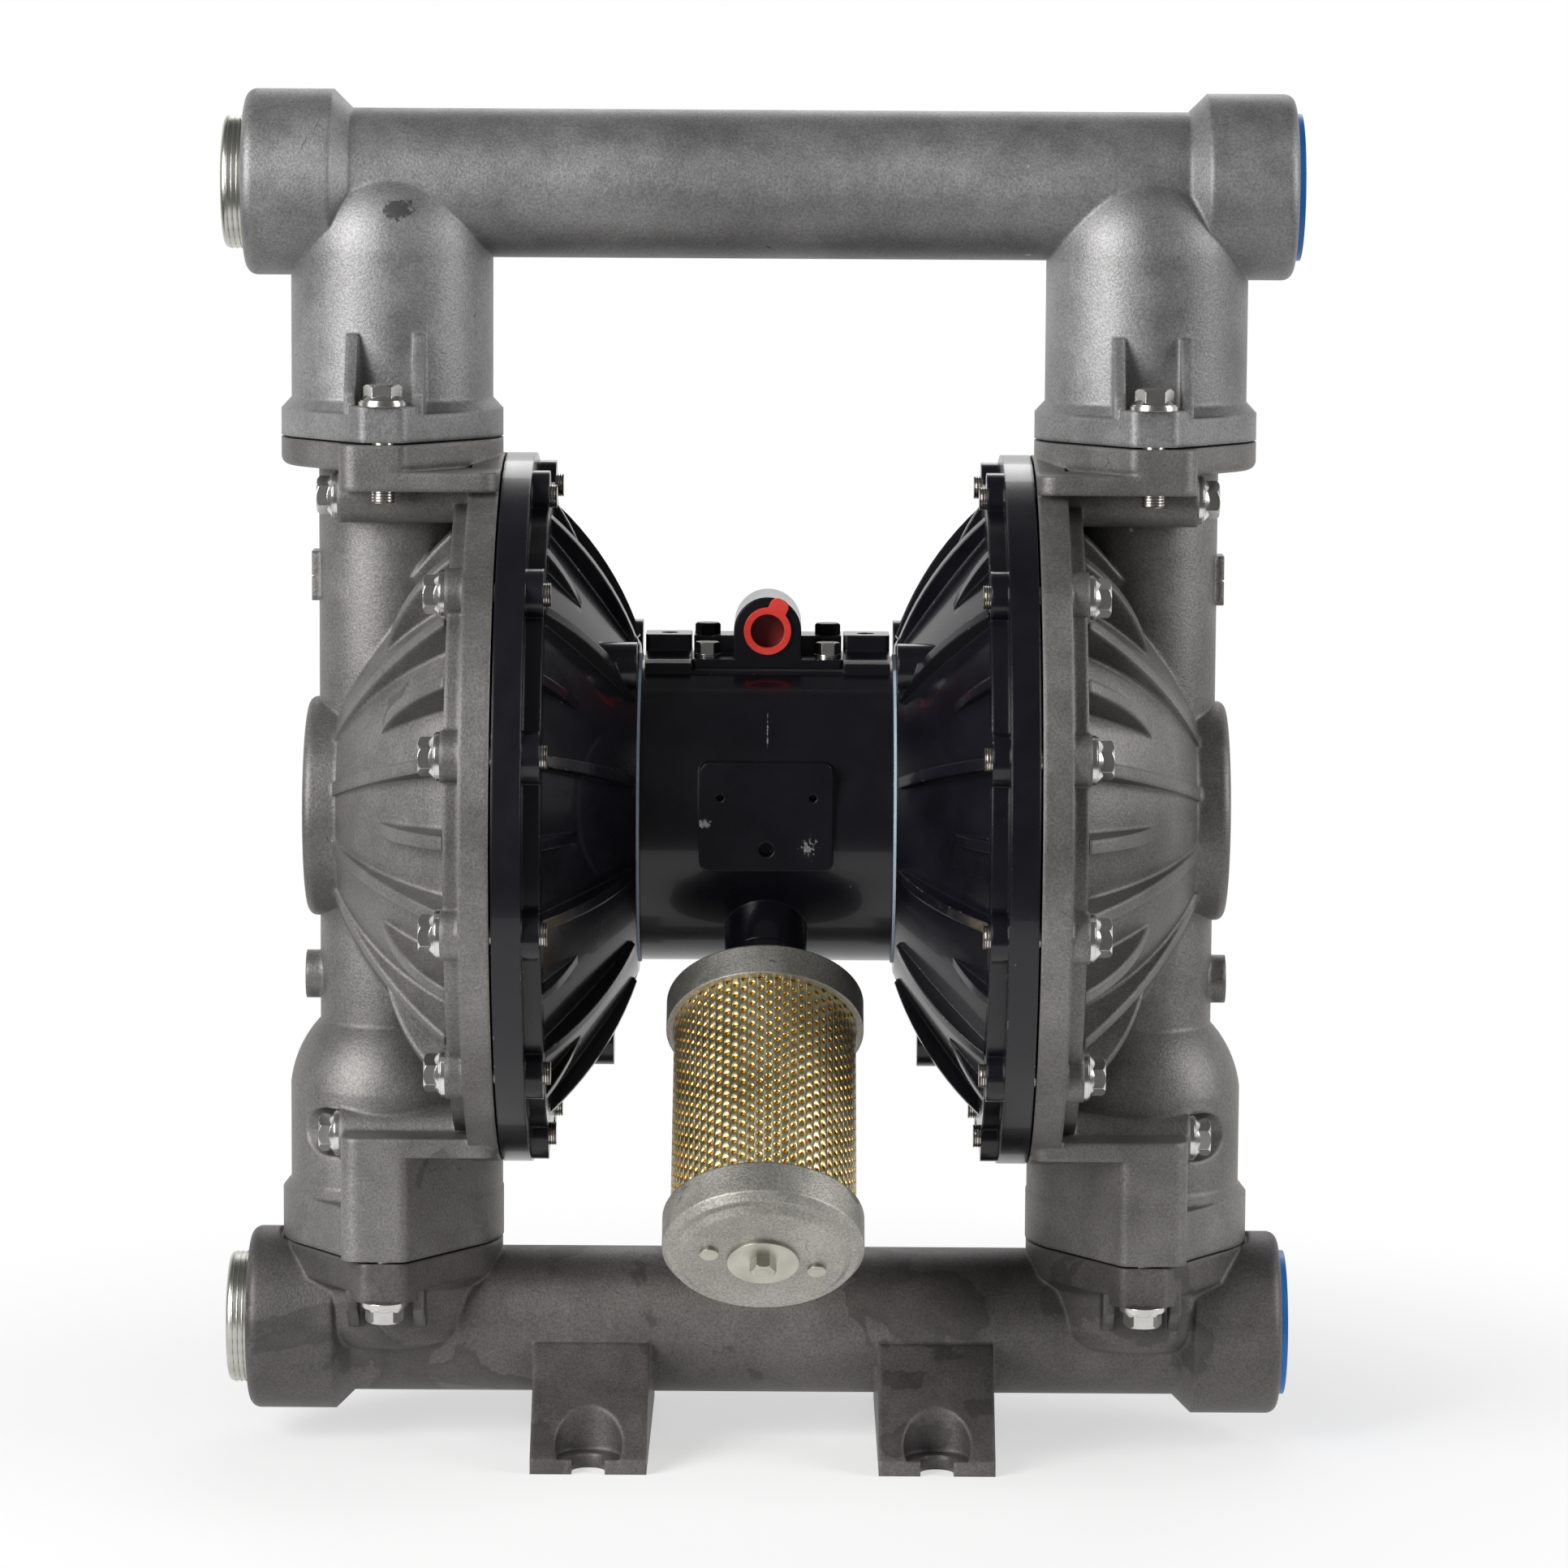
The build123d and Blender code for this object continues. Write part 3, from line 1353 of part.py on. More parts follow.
for side, sign in sides.items():
    save(valve_seat(inlet_seat_top, sign * column_offset), f"inlet_{side}_seat")
    save(valve_seat(outlet_seat_top, sign * column_offset), f"outlet_{side}_seat")
    for level, ball_z in (("inlet", inlet_ball_z), ("outlet", outlet_ball_z)):
        with BuildPart() as ball:
            with Locations((sign * column_offset, 0, ball_z)):
                Sphere(ball_radius)
        save(ball.part, f"{level}_{side}_ball")

for level, seal_face in (("inlet", inlet_cover_face), ("outlet", outlet_manifold_face)):
    with BuildPart() as joint_seals:
        with Locations(*[(x, y, seal_face - joint_ring_section) for x, y in columns]):
            Torus(joint_ring_radius, joint_ring_section)
    save(joint_seals.part, f"{level}_joint_seals")

# ================================================================== air inlet block
with BuildPart() as inlet_block_gasket:
    with BuildSketch(Plane.XY.offset(top_pad_z)):
        Rectangle(2 * block_half_width, 2 * block_half_depth)
        Circle(air_passage_radius, mode=Mode.SUBTRACT)
        with Locations(*block_screws):
            Circle(small_bolt_radius + bolt_clearance, mode=Mode.SUBTRACT)
    extrude(amount=gasket_thickness)
save(inlet_block_gasket.part, "inlet_block_gasket")

# Air inlet block: threaded inlet in an arched boss, with two bolt ears a side.
with BuildPart() as air_inlet_block:
    with BuildSketch(Plane.XY.offset(block_base_z)):
        RectangleRounded(2 * block_half_width, 2 * block_half_depth, block_corner)
    extrude(amount=block_ear_height)
    with BuildSketch(Plane.XY.offset(block_base_z)):
        with Locations((0, block_half_depth)):
            Rectangle(
                2 * block_half_width - 1,
                block_half_depth - block_step_start,
                align=(Align.CENTER, Align.MAX),
            )
    extrude(amount=block_step_height)
    with BuildSketch(Plane.XZ.offset(-block_half_depth)):
        with Locations((0, block_port_z)):
            Circle(block_port_radius)
            Rectangle(
                2 * block_port_radius,
                block_port_z - block_base_z,
                align=(Align.CENTER, Align.MAX),
            )
    extrude(amount=2 * block_half_depth)
    with BuildSketch(Plane.XZ.offset(block_half_depth)):
        with Locations((0, block_port_z)):
            Circle(block_bore_radius)
    extrude(amount=-block_bore_depth, mode=Mode.SUBTRACT)
    with BuildSketch(Plane.XY.offset(block_base_z)):
        Circle(air_passage_radius)
    extrude(amount=block_port_z - block_base_z, mode=Mode.SUBTRACT)
    with BuildSketch(Plane.XY.offset(block_base_z)):
        with Locations(*block_screws):
            Circle(small_bolt_radius + bolt_clearance)
    extrude(amount=block_step_height, mode=Mode.SUBTRACT)
save(air_inlet_block.part, "air_inlet_block")

front_seat_z = block_base_z + block_ear_height
rear_seat_z = block_base_z + block_step_height
front_bolt = small_bolt(block_ear_height + gasket_thickness + small_bolt_depth - 1, front_bolt_head)
rear_bolt = small_bolt(block_step_height + gasket_thickness + small_bolt_depth - 1)
with BuildPart() as inlet_block_front_bolts:
    for x, y in block_screws:
        if y < 0:
            with Locations((x, y, front_seat_z)):
                add(front_bolt)
                Cylinder(small_washer_radius, small_washer_thickness, align=low)
save(inlet_block_front_bolts.part, "inlet_block_front_bolts")

with BuildPart() as inlet_block_rear_bolts:
    for x, y in block_screws:
        if y > 0:
            with Locations((x, y, rear_seat_z)):
                add(rear_bolt)
save(inlet_block_rear_bolts.part, "inlet_block_rear_bolts")

# Dust plug pushed in the air inlet, with a pull tab.
with BuildPart() as air_dust_plug:
    with BuildSketch(Plane.XZ.offset(block_half_depth)):
        with Locations((0, block_port_z)):
            Circle(air_plug_flange_radius)
        with Locations((0, block_port_z)):
            with PolarLocations(air_tab_reach - air_tab_length / 2, 1, 90 - air_tab_turn):
                RectangleRounded(air_tab_length, air_tab_width, air_tab_corner)
    extrude(amount=air_plug_flange)
    with BuildSketch(Plane.XZ.offset(block_half_depth)):
        with Locations((0, block_port_z)):
            Circle(block_bore_radius - loose_clearance)
    extrude(amount=-air_plug_length)
    with BuildSketch(Plane.XZ.offset(block_half_depth + air_plug_flange)):
        with Locations((0, block_port_z)):
            Circle(block_bore_radius - loose_clearance - air_plug_wall)
    extrude(amount=-air_plug_length, mode=Mode.SUBTRACT)
save(air_dust_plug.part, "air_dust_plug")

# ================================================================== main air valve
valve_face = valve_pad_face + gasket_thickness
valve_axis_y = valve_face + valve_depth / 2
valve_top_z = valve_centre_z + valve_half_height
valve_low_z = valve_centre_z - valve_half_height
valve_levels = [supply_z, right_port_z, left_port_z, exhaust_z]

with BuildPart() as valve_gasket:
    with BuildSketch(Plane.XZ.offset(-valve_face)):
        with Locations((0, valve_centre_z)):
            RectangleRounded(2 * valve_half_width, 2 * valve_half_height, valve_corner)
        with Locations(*valve_screws):
            Circle(small_bolt_radius + bolt_clearance, mode=Mode.SUBTRACT)
        with Locations((0, supply_z)):
            Circle(supply_radius, mode=Mode.SUBTRACT)
        with Locations((0, exhaust_z)):
            Circle(exhaust_radius, mode=Mode.SUBTRACT)
        with Locations((-side_port_offset, left_port_z), (side_port_offset, right_port_z)):
            Circle(side_port_radius, mode=Mode.SUBTRACT)
    extrude(amount=gasket_thickness)
save(valve_gasket.part, "valve_gasket")

# Valve body: its face carries the air supply, the exhaust and one groove a side.
with BuildPart() as valve_body:
    with BuildSketch(Plane.XZ.offset(-valve_face)):
        with Locations((0, valve_centre_z)):
            RectangleRounded(2 * valve_half_width, 2 * valve_half_height, valve_corner)
    extrude(amount=-valve_depth)
    with BuildSketch(Plane.XY.offset(valve_low_z)):
        with Locations((0, valve_axis_y)):
            Circle(valve_bore_radius + fit_clearance)
    extrude(amount=2 * valve_half_height, mode=Mode.SUBTRACT)
    with BuildSketch(Plane.XZ.offset(-valve_face)):
        with Locations(*[(0, level) for level in valve_levels]):
            Circle(valve_port_radius)
    extrude(amount=-valve_depth / 2, mode=Mode.SUBTRACT)
    with BuildSketch(Plane.XZ.offset(-valve_face)):
        with Locations((-side_port_offset / 2, left_port_z), (side_port_offset / 2, right_port_z)):
            SlotCenterToCenter(side_port_offset, valve_groove_width)
    extrude(amount=-valve_groove_depth, mode=Mode.SUBTRACT)
    with BuildSketch(Plane.XZ.offset(-valve_face)):
        with Locations(*valve_screws):
            Circle(small_bolt_radius + bolt_clearance)
    extrude(amount=-valve_depth, mode=Mode.SUBTRACT)
    cap_screws = [
        (x * cap_bolt_offset, valve_axis_y + y * cap_bolt_reach)
        for x in (-1, 1)
        for y in (-1, 1)
    ]
    with BuildSketch(Plane.XY.offset(valve_top_z)):
        with Locations(*cap_screws):
            Circle(small_bolt_radius + fit_clearance)
    extrude(amount=-small_bolt_depth, mode=Mode.SUBTRACT)
    with BuildSketch(Plane.XY.offset(valve_low_z)):
        with Locations(*cap_screws):
            Circle(small_bolt_radius + fit_clearance)
    extrude(amount=small_bolt_depth, mode=Mode.SUBTRACT)
save(valve_body.part, "valve_body")

with BuildPart() as valve_sleeve:
    with BuildSketch(Plane.XY.offset(valve_low_z)):
        with Locations((0, valve_axis_y)):
            Circle(valve_bore_radius)
            Circle(valve_bore_radius - valve_sleeve_wall, mode=Mode.SUBTRACT)
    extrude(amount=2 * valve_half_height)
    with BuildSketch(Plane.XZ.offset(-valve_face)):
        with Locations(*[(0, level) for level in valve_levels]):
            Circle(valve_port_radius)
    extrude(amount=-valve_depth / 2, mode=Mode.SUBTRACT)
save(valve_sleeve.part, "valve_sleeve")

# Valve spool: lands and waists, resting on the lower end cap.
spool_radius = valve_bore_radius - valve_sleeve_wall - slide_clearance
spool_length = 2 * valve_half_height - spool_travel - loose_clearance
with BuildPart() as valve_spool:
    with BuildSketch(Plane.XY.offset(valve_low_z)):
        with Locations((0, valve_axis_y)):
            Circle(spool_radius)
    extrude(amount=spool_length)
    for number in range(spool_waist_count):
        waist_start = valve_low_z + spool_land + number * (spool_land + spool_gap)
        with BuildSketch(Plane.XY.offset(waist_start)):
            with Locations((0, valve_axis_y)):
                Circle(spool_radius + 1)
                Circle(spool_waist_radius, mode=Mode.SUBTRACT)
        extrude(amount=spool_gap, mode=Mode.SUBTRACT)
save(valve_spool.part, "valve_spool")

with BuildPart() as valve_end_caps:
    for cap_z in (valve_top_z, valve_low_z - valve_cap_thickness):
        with BuildSketch(Plane.XY.offset(cap_z)):
            with Locations((0, valve_axis_y)):
                RectangleRounded(2 * valve_half_width, valve_depth, valve_corner)
            with Locations(*cap_screws):
                Circle(small_bolt_radius + bolt_clearance, mode=Mode.SUBTRACT)
        extrude(amount=valve_cap_thickness)
save(valve_end_caps.part, "valve_end_caps")

cap_bolt = small_bolt(valve_cap_thickness + small_bolt_depth - 1)
body_bolt = small_bolt(valve_depth + gasket_thickness + small_bolt_depth - 1)
with BuildPart() as valve_bolts:
    with Locations(*[(x, y, valve_top_z + valve_cap_thickness) for x, y in cap_screws]):
        add(cap_bolt)
    with Locations(
        *[
            Location((x, y, valve_low_z - valve_cap_thickness), (180, 0, 0))
            for x, y in cap_screws
        ]
    ):
        add(cap_bolt)
    with Locations(
        *[Location((x, valve_face + valve_depth, z), (-90, 0, 0)) for x, z in valve_screws]
    ):
        add(body_bolt)
save(valve_bolts.part, "valve_bolts")

# ================================================================== exhaust muffler
with BuildPart() as muffler_neck:
    with Locations(muffler_place(neck_boss_end - neck_depth)):
        Cylinder(neck_radius, cap_start + cap_plate - neck_boss_end + neck_depth, align=low)
    with Locations(muffler_place(neck_boss_end)):
        Cylinder(neck_boss_radius, neck_collar_end - neck_boss_end, align=low)
    with Locations(muffler_place(neck_boss_end - neck_depth)):
        Cylinder(
            neck_bore_radius,
            cap_start + cap_plate - neck_boss_end + neck_depth,
            align=low,
            mode=Mode.SUBTRACT,
        )
save(muffler_neck.part, "muffler_neck")

cap_inner_radius = sleeve_radius + fit_clearance
with BuildPart() as muffler_top_cap:
    with Locations(muffler_place(cap_start - cap_hub_height)):
        Cylinder(cap_hub_radius, cap_hub_height, align=low)
    with Locations(muffler_place(cap_start)):
        Cylinder(cap_radius, cap_rim_height, align=low)
    with Locations(muffler_place(cap_start + cap_plate)):
        Cylinder(cap_inner_radius, cap_rim_height, align=low, mode=Mode.SUBTRACT)
        Cylinder(cap_hub_radius, cap_web, align=low)
    with Locations(muffler_place(cap_start - cap_hub_height)):
        Cylinder(
            neck_radius + fit_clearance,
            cap_hub_height + cap_plate,
            align=low,
            mode=Mode.SUBTRACT,
        )
        Cylinder(tie_radius + fit_clearance, cap_start, align=low, mode=Mode.SUBTRACT)
        with PolarLocations(cap_vent_circle, cap_vent_count):
            Cylinder(cap_vent_radius, cap_start, align=low, mode=Mode.SUBTRACT)
save(muffler_top_cap.part, "muffler_top_cap")

with BuildPart() as muffler_sleeve:
    with Locations(muffler_place(cap_start + cap_plate)):
        Cylinder(sleeve_radius, sleeve_end - cap_start - cap_plate, align=low)
        Cylinder(
            sleeve_radius - sleeve_thickness,
            sleeve_end - cap_start - cap_plate,
            align=low,
            mode=Mode.SUBTRACT,
        )
save(muffler_sleeve.part, "muffler_sleeve")

with BuildPart() as muffler_element:
    with Locations(muffler_place(cap_start + cap_plate)):
        Cylinder(
            sleeve_radius - sleeve_thickness - loose_clearance,
            sleeve_end - cap_start - cap_plate,
            align=low,
        )
        Cylinder(
            sleeve_radius - sleeve_thickness - element_thickness,
            sleeve_end - cap_start - cap_plate,
            align=low,
            mode=Mode.SUBTRACT,
        )
save(muffler_element.part, "muffler_element")

crown_end = bottom_face + bottom_crown_height
with BuildPart() as muffler_bottom_cap:
    with Locations(muffler_place(bottom_rim_start)):
        Cylinder(cap_radius, bottom_rim_end - bottom_rim_start, align=low)
    with Locations(muffler_place(bottom_rim_end)):
        Cone(cap_radius, bottom_face_radius, bottom_face - bottom_rim_end, align=low)
    with Locations(muffler_place(bottom_face)):
        Cone(
            bottom_crown_radius + bottom_crown_height,
            bottom_crown_radius,
            bottom_crown_height,
            align=low,
        )
    with Locations(muffler_place(bottom_rim_start)):
        Cylinder(
            cap_inner_radius, sleeve_end - bottom_rim_start, align=low, mode=Mode.SUBTRACT
        )
        Cylinder(
            tie_radius + fit_clearance,
            crown_end - bottom_rim_start,
            align=low,
            mode=Mode.SUBTRACT,
        )
save(muffler_bottom_cap.part, "muffler_bottom_cap")

tie_start = cap_start + cap_plate
tie_end = crown_end + tie_washer_thickness + tie_nut_height
with BuildPart() as muffler_tie_rod:
    with Locations(muffler_place(tie_start)):
        Cylinder(tie_radius, tie_end - tie_start, align=low)
    with Locations(muffler_place(tie_start - tie_head_height)):
        Cylinder(tie_head_radius, tie_head_height, align=low)
save(muffler_tie_rod.part, "muffler_tie_rod")

tie_nut = hex_head(tie_nut_width, tie_nut_height)
with BuildPart() as muffler_fasteners:
    with Locations(muffler_place(crown_end + tie_washer_thickness)):
        add(tie_nut)
    with Locations(muffler_place(crown_end)):
        Cylinder(tie_washer_radius, tie_washer_thickness, align=low)
        with PolarLocations(rivet_circle, 2, rivet_turn, 360):
            Cylinder(rivet_radius, rivet_head, align=low)
    with Locations(muffler_place(crown_end)):
        Cylinder(
            tie_radius + fit_clearance,
            tie_washer_thickness + tie_nut_height,
            align=low,
            mode=Mode.SUBTRACT,
        )
save(muffler_fasteners.part, "muffler_fasteners")

# ================================================================== flange bolts and washers
flange_bolt_solid = flange_bolt(flange_bolt_length)
with BuildPart() as outlet_flange_bolts:
    with Locations(*[(x, y, outlet_bolt_seat + washer_thickness) for x, y in column_bolts]):
        add(flange_bolt_solid)
save(outlet_flange_bolts.part, "outlet_flange_bolts")

with BuildPart() as inlet_flange_bolts:
    with Locations(
        *[
            Location((x, y, inlet_bolt_seat - washer_thickness), (180, 0, 0))
            for x, y in column_bolts
        ]
    ):
        add(flange_bolt_solid)
save(inlet_flange_bolts.part, "inlet_flange_bolts")


def rim_bolts(angles, seat_x):
    """Bolts along X through the rim, washer faces turned to +X."""
    head_x = seat_x + washer_thickness
    solid = flange_bolt(head_x - lug_face + thread_end)
    with BuildPart() as bolts:
        with Locations(*[Location(rim_point(angle, head_x), (0, 90, 0)) for angle in angles]):
            add(solid)
    return bolts.part


cover_bolts = rim_bolts(short_angles, boss_face)
long_bolts = rim_bolts(long_angles, long_boss_end_offset)
save(cover_bolts, "right_cover_bolts")
save(mirror(cover_bolts, about=Plane.YZ), "left_cover_bolts")
save(long_bolts, "right_long_bolts")
save(mirror(long_bolts, about=Plane.YZ), "left_long_bolts")

washer = ring(washer_radius, bolt_radius + loose_clearance, washer_thickness)
rim_washers = [rim_point(angle, boss_face) for angle in short_angles]
rim_washers += [rim_point(angle, long_boss_end_offset) for angle in long_angles]
with BuildPart() as bolt_washers:
    with Locations(*[Location(place, (0, 90, 0)) for place in rim_washers]):
        add(washer)
    mirror(about=Plane.YZ)
    with Locations(*[(x, y, outlet_bolt_seat) for x, y in column_bolts]):
        add(washer)
    with Locations(
        *[(x, y, inlet_bolt_seat - washer_thickness) for x, y in column_bolts]
    ):
        add(washer)
save(bolt_washers.part, "bolt_washers")

# ================================================================== plugs and dust caps
levels = {"inlet": inlet_axis_z, "outlet": outlet_axis_z}
plug_start = -port_face_offset - pipe_plug_reach
for level, axis_z in levels.items():
    # Steel pipe plug with a square socket, screwed in the left port.
    with BuildPart() as pipe_plug:
        with BuildSketch(along_x(plug_start, 0, axis_z)):
            Circle(port_thread_radius)
        extrude(amount=pipe_plug_length)
        fillet(pipe_plug.edges().group_by(Axis.X)[0], pipe_plug_fillet)
        with BuildSketch(along_x(plug_start, 0, axis_z)):
            Rectangle(pipe_plug_socket, pipe_plug_socket)
        extrude(amount=pipe_plug_socket_depth, mode=Mode.SUBTRACT)
    save(pipe_plug.part, f"{level}_pipe_plug")

    # Plastic dust cap pushed in the right port.
    dust_cup_radius = port_thread_radius - loose_clearance
    with BuildPart() as dust_cap:
        with BuildSketch(along_x(port_face_offset, 0, axis_z)):
            Circle(dust_flange_radius)
        extrude(amount=dust_flange_thickness)
        with BuildSketch(along_x(port_face_offset, 0, axis_z)):
            Circle(dust_cup_radius)
        extrude(amount=-dust_cup_length)
        with BuildSketch(along_x(port_face_offset + dust_flange_thickness, 0, axis_z)):
            Circle(dust_cup_radius - dust_wall)
        extrude(amount=-dust_cup_length, mode=Mode.SUBTRACT)
    save(dust_cap.part, f"{level}_dust_cap")
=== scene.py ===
import math

import bmesh
import bpy
from mathutils import Matrix, Vector


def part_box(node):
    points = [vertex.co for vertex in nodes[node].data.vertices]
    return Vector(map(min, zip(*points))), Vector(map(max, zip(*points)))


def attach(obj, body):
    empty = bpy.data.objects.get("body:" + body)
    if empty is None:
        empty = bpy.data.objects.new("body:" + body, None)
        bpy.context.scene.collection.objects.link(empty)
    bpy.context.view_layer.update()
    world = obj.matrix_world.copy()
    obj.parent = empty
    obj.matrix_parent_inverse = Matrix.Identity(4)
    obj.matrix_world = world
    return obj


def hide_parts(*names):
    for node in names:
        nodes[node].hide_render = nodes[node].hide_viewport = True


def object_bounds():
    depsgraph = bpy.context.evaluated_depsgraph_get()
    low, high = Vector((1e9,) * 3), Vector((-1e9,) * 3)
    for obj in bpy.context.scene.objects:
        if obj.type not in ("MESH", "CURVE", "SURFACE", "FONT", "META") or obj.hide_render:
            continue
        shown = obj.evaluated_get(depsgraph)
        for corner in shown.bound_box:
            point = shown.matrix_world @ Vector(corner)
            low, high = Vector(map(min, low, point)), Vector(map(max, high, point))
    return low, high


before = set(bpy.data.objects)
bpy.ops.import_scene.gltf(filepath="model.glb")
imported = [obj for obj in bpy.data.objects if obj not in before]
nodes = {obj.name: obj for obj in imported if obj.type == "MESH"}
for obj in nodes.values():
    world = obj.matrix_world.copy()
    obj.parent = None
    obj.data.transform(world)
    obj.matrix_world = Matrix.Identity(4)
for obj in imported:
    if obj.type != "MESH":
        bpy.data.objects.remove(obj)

cad_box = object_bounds()

# ---------------------------------------------------------------------------
# Inlet manifold. A sand-cast aluminium header that lies along the floor, with
# a threaded port boss at each end, two legs up to the covers and two feet.
# It is shot blasted and left bare, and it is the part that oil and dirt reach;
# its darker grey is partly that oil and partly painted shade for lying lowest.
# ---------------------------------------------------------------------------
MM = 0.001


def paint(hex_colour):
    """An sRGB hex colour as linear RGBA."""
    channels = (int(hex_colour[i:i + 2], 16) / 255 for i in (1, 3, 5))
    return (*(c / 12.92 if c <= 0.04045 else ((c + 0.055) / 1.055) ** 2.4
              for c in channels), 1.0)


def add(tree, kind, inputs=None, stops=(), **settings):
    """A node with its settings; an input is a value or a socket to link, and
    stops are the places and colours of a colour ramp."""
    made = tree.nodes.new(kind)
    for name, value in settings.items():
        setattr(made, name, value)
    for name, value in (inputs or {}).items():
        if isinstance(value, bpy.types.NodeSocket):
            tree.links.new(value, made.inputs[name])
        else:
            made.inputs[name].default_value = value
    for _ in stops[2:]:
        made.color_ramp.elements.new(0.5)
    for number, (position, colour) in enumerate(stops):
        element = made.color_ramp.elements[number]
        element.position, element.color = position, colour
    return made


def new_material(name):
    """An empty node material, its tree and its surface shader."""
    material = bpy.data.materials.new(name)
    material.use_nodes = True
    tree = material.node_tree
    return material, tree, tree.nodes["Principled BSDF"]


BLACK, WHITE = (0, 0, 0, 1), (1, 1, 1, 1)


def grey(value):
    """A linear grey as RGBA."""
    return (value, value, value, 1.0)


def softened_edge(tree, radius):
    """A rounded normal for sharp edges, and how much it turns there."""
    rounded = add(tree, "ShaderNodeBevel", {"Radius": radius}, samples=6)
    true_normal = add(tree, "ShaderNodeNewGeometry").outputs["Normal"]
    lined_up = add(tree, "ShaderNodeVectorMath",
                   {0: rounded.outputs[0], 1: true_normal},
                   operation="DOT_PRODUCT").outputs["Value"]
    turned = add(tree, "ShaderNodeMath", {0: 1.0, 1: lined_up},
                 operation="SUBTRACT").outputs[0]
    return rounded.outputs[0], turned


def ragged_spot(tree, place, centre, reach, rag=2.5):
    """A mask for one worn or dirty spot with a ragged edge, sizes in mm."""
    away = add(tree, "ShaderNodeVectorMath",
               {0: place, 1: tuple(c * MM for c in centre)},
               operation="SUBTRACT").outputs[0]
    away = add(tree, "ShaderNodeVectorMath",
               {0: away, 1: tuple(r * MM for r in reach)},
               operation="DIVIDE").outputs[0]
    away = add(tree, "ShaderNodeVectorMath", {0: away}, operation="LENGTH").outputs["Value"]
    torn = add(tree, "ShaderNodeTexNoise",
               {"Vector": place, "Scale": 1 / (rag * MM), "Detail": 4.0,
                "Roughness": 0.65}).outputs["Fac"]
    away = add(tree, "ShaderNodeMath", {0: torn, 1: 2.0, 2: away},
               operation="MULTIPLY_ADD").outputs[0]
    return add(tree, "ShaderNodeMapRange",
               {"Value": away, "From Min": 1.85, "From Max": 1.65}).outputs[0]


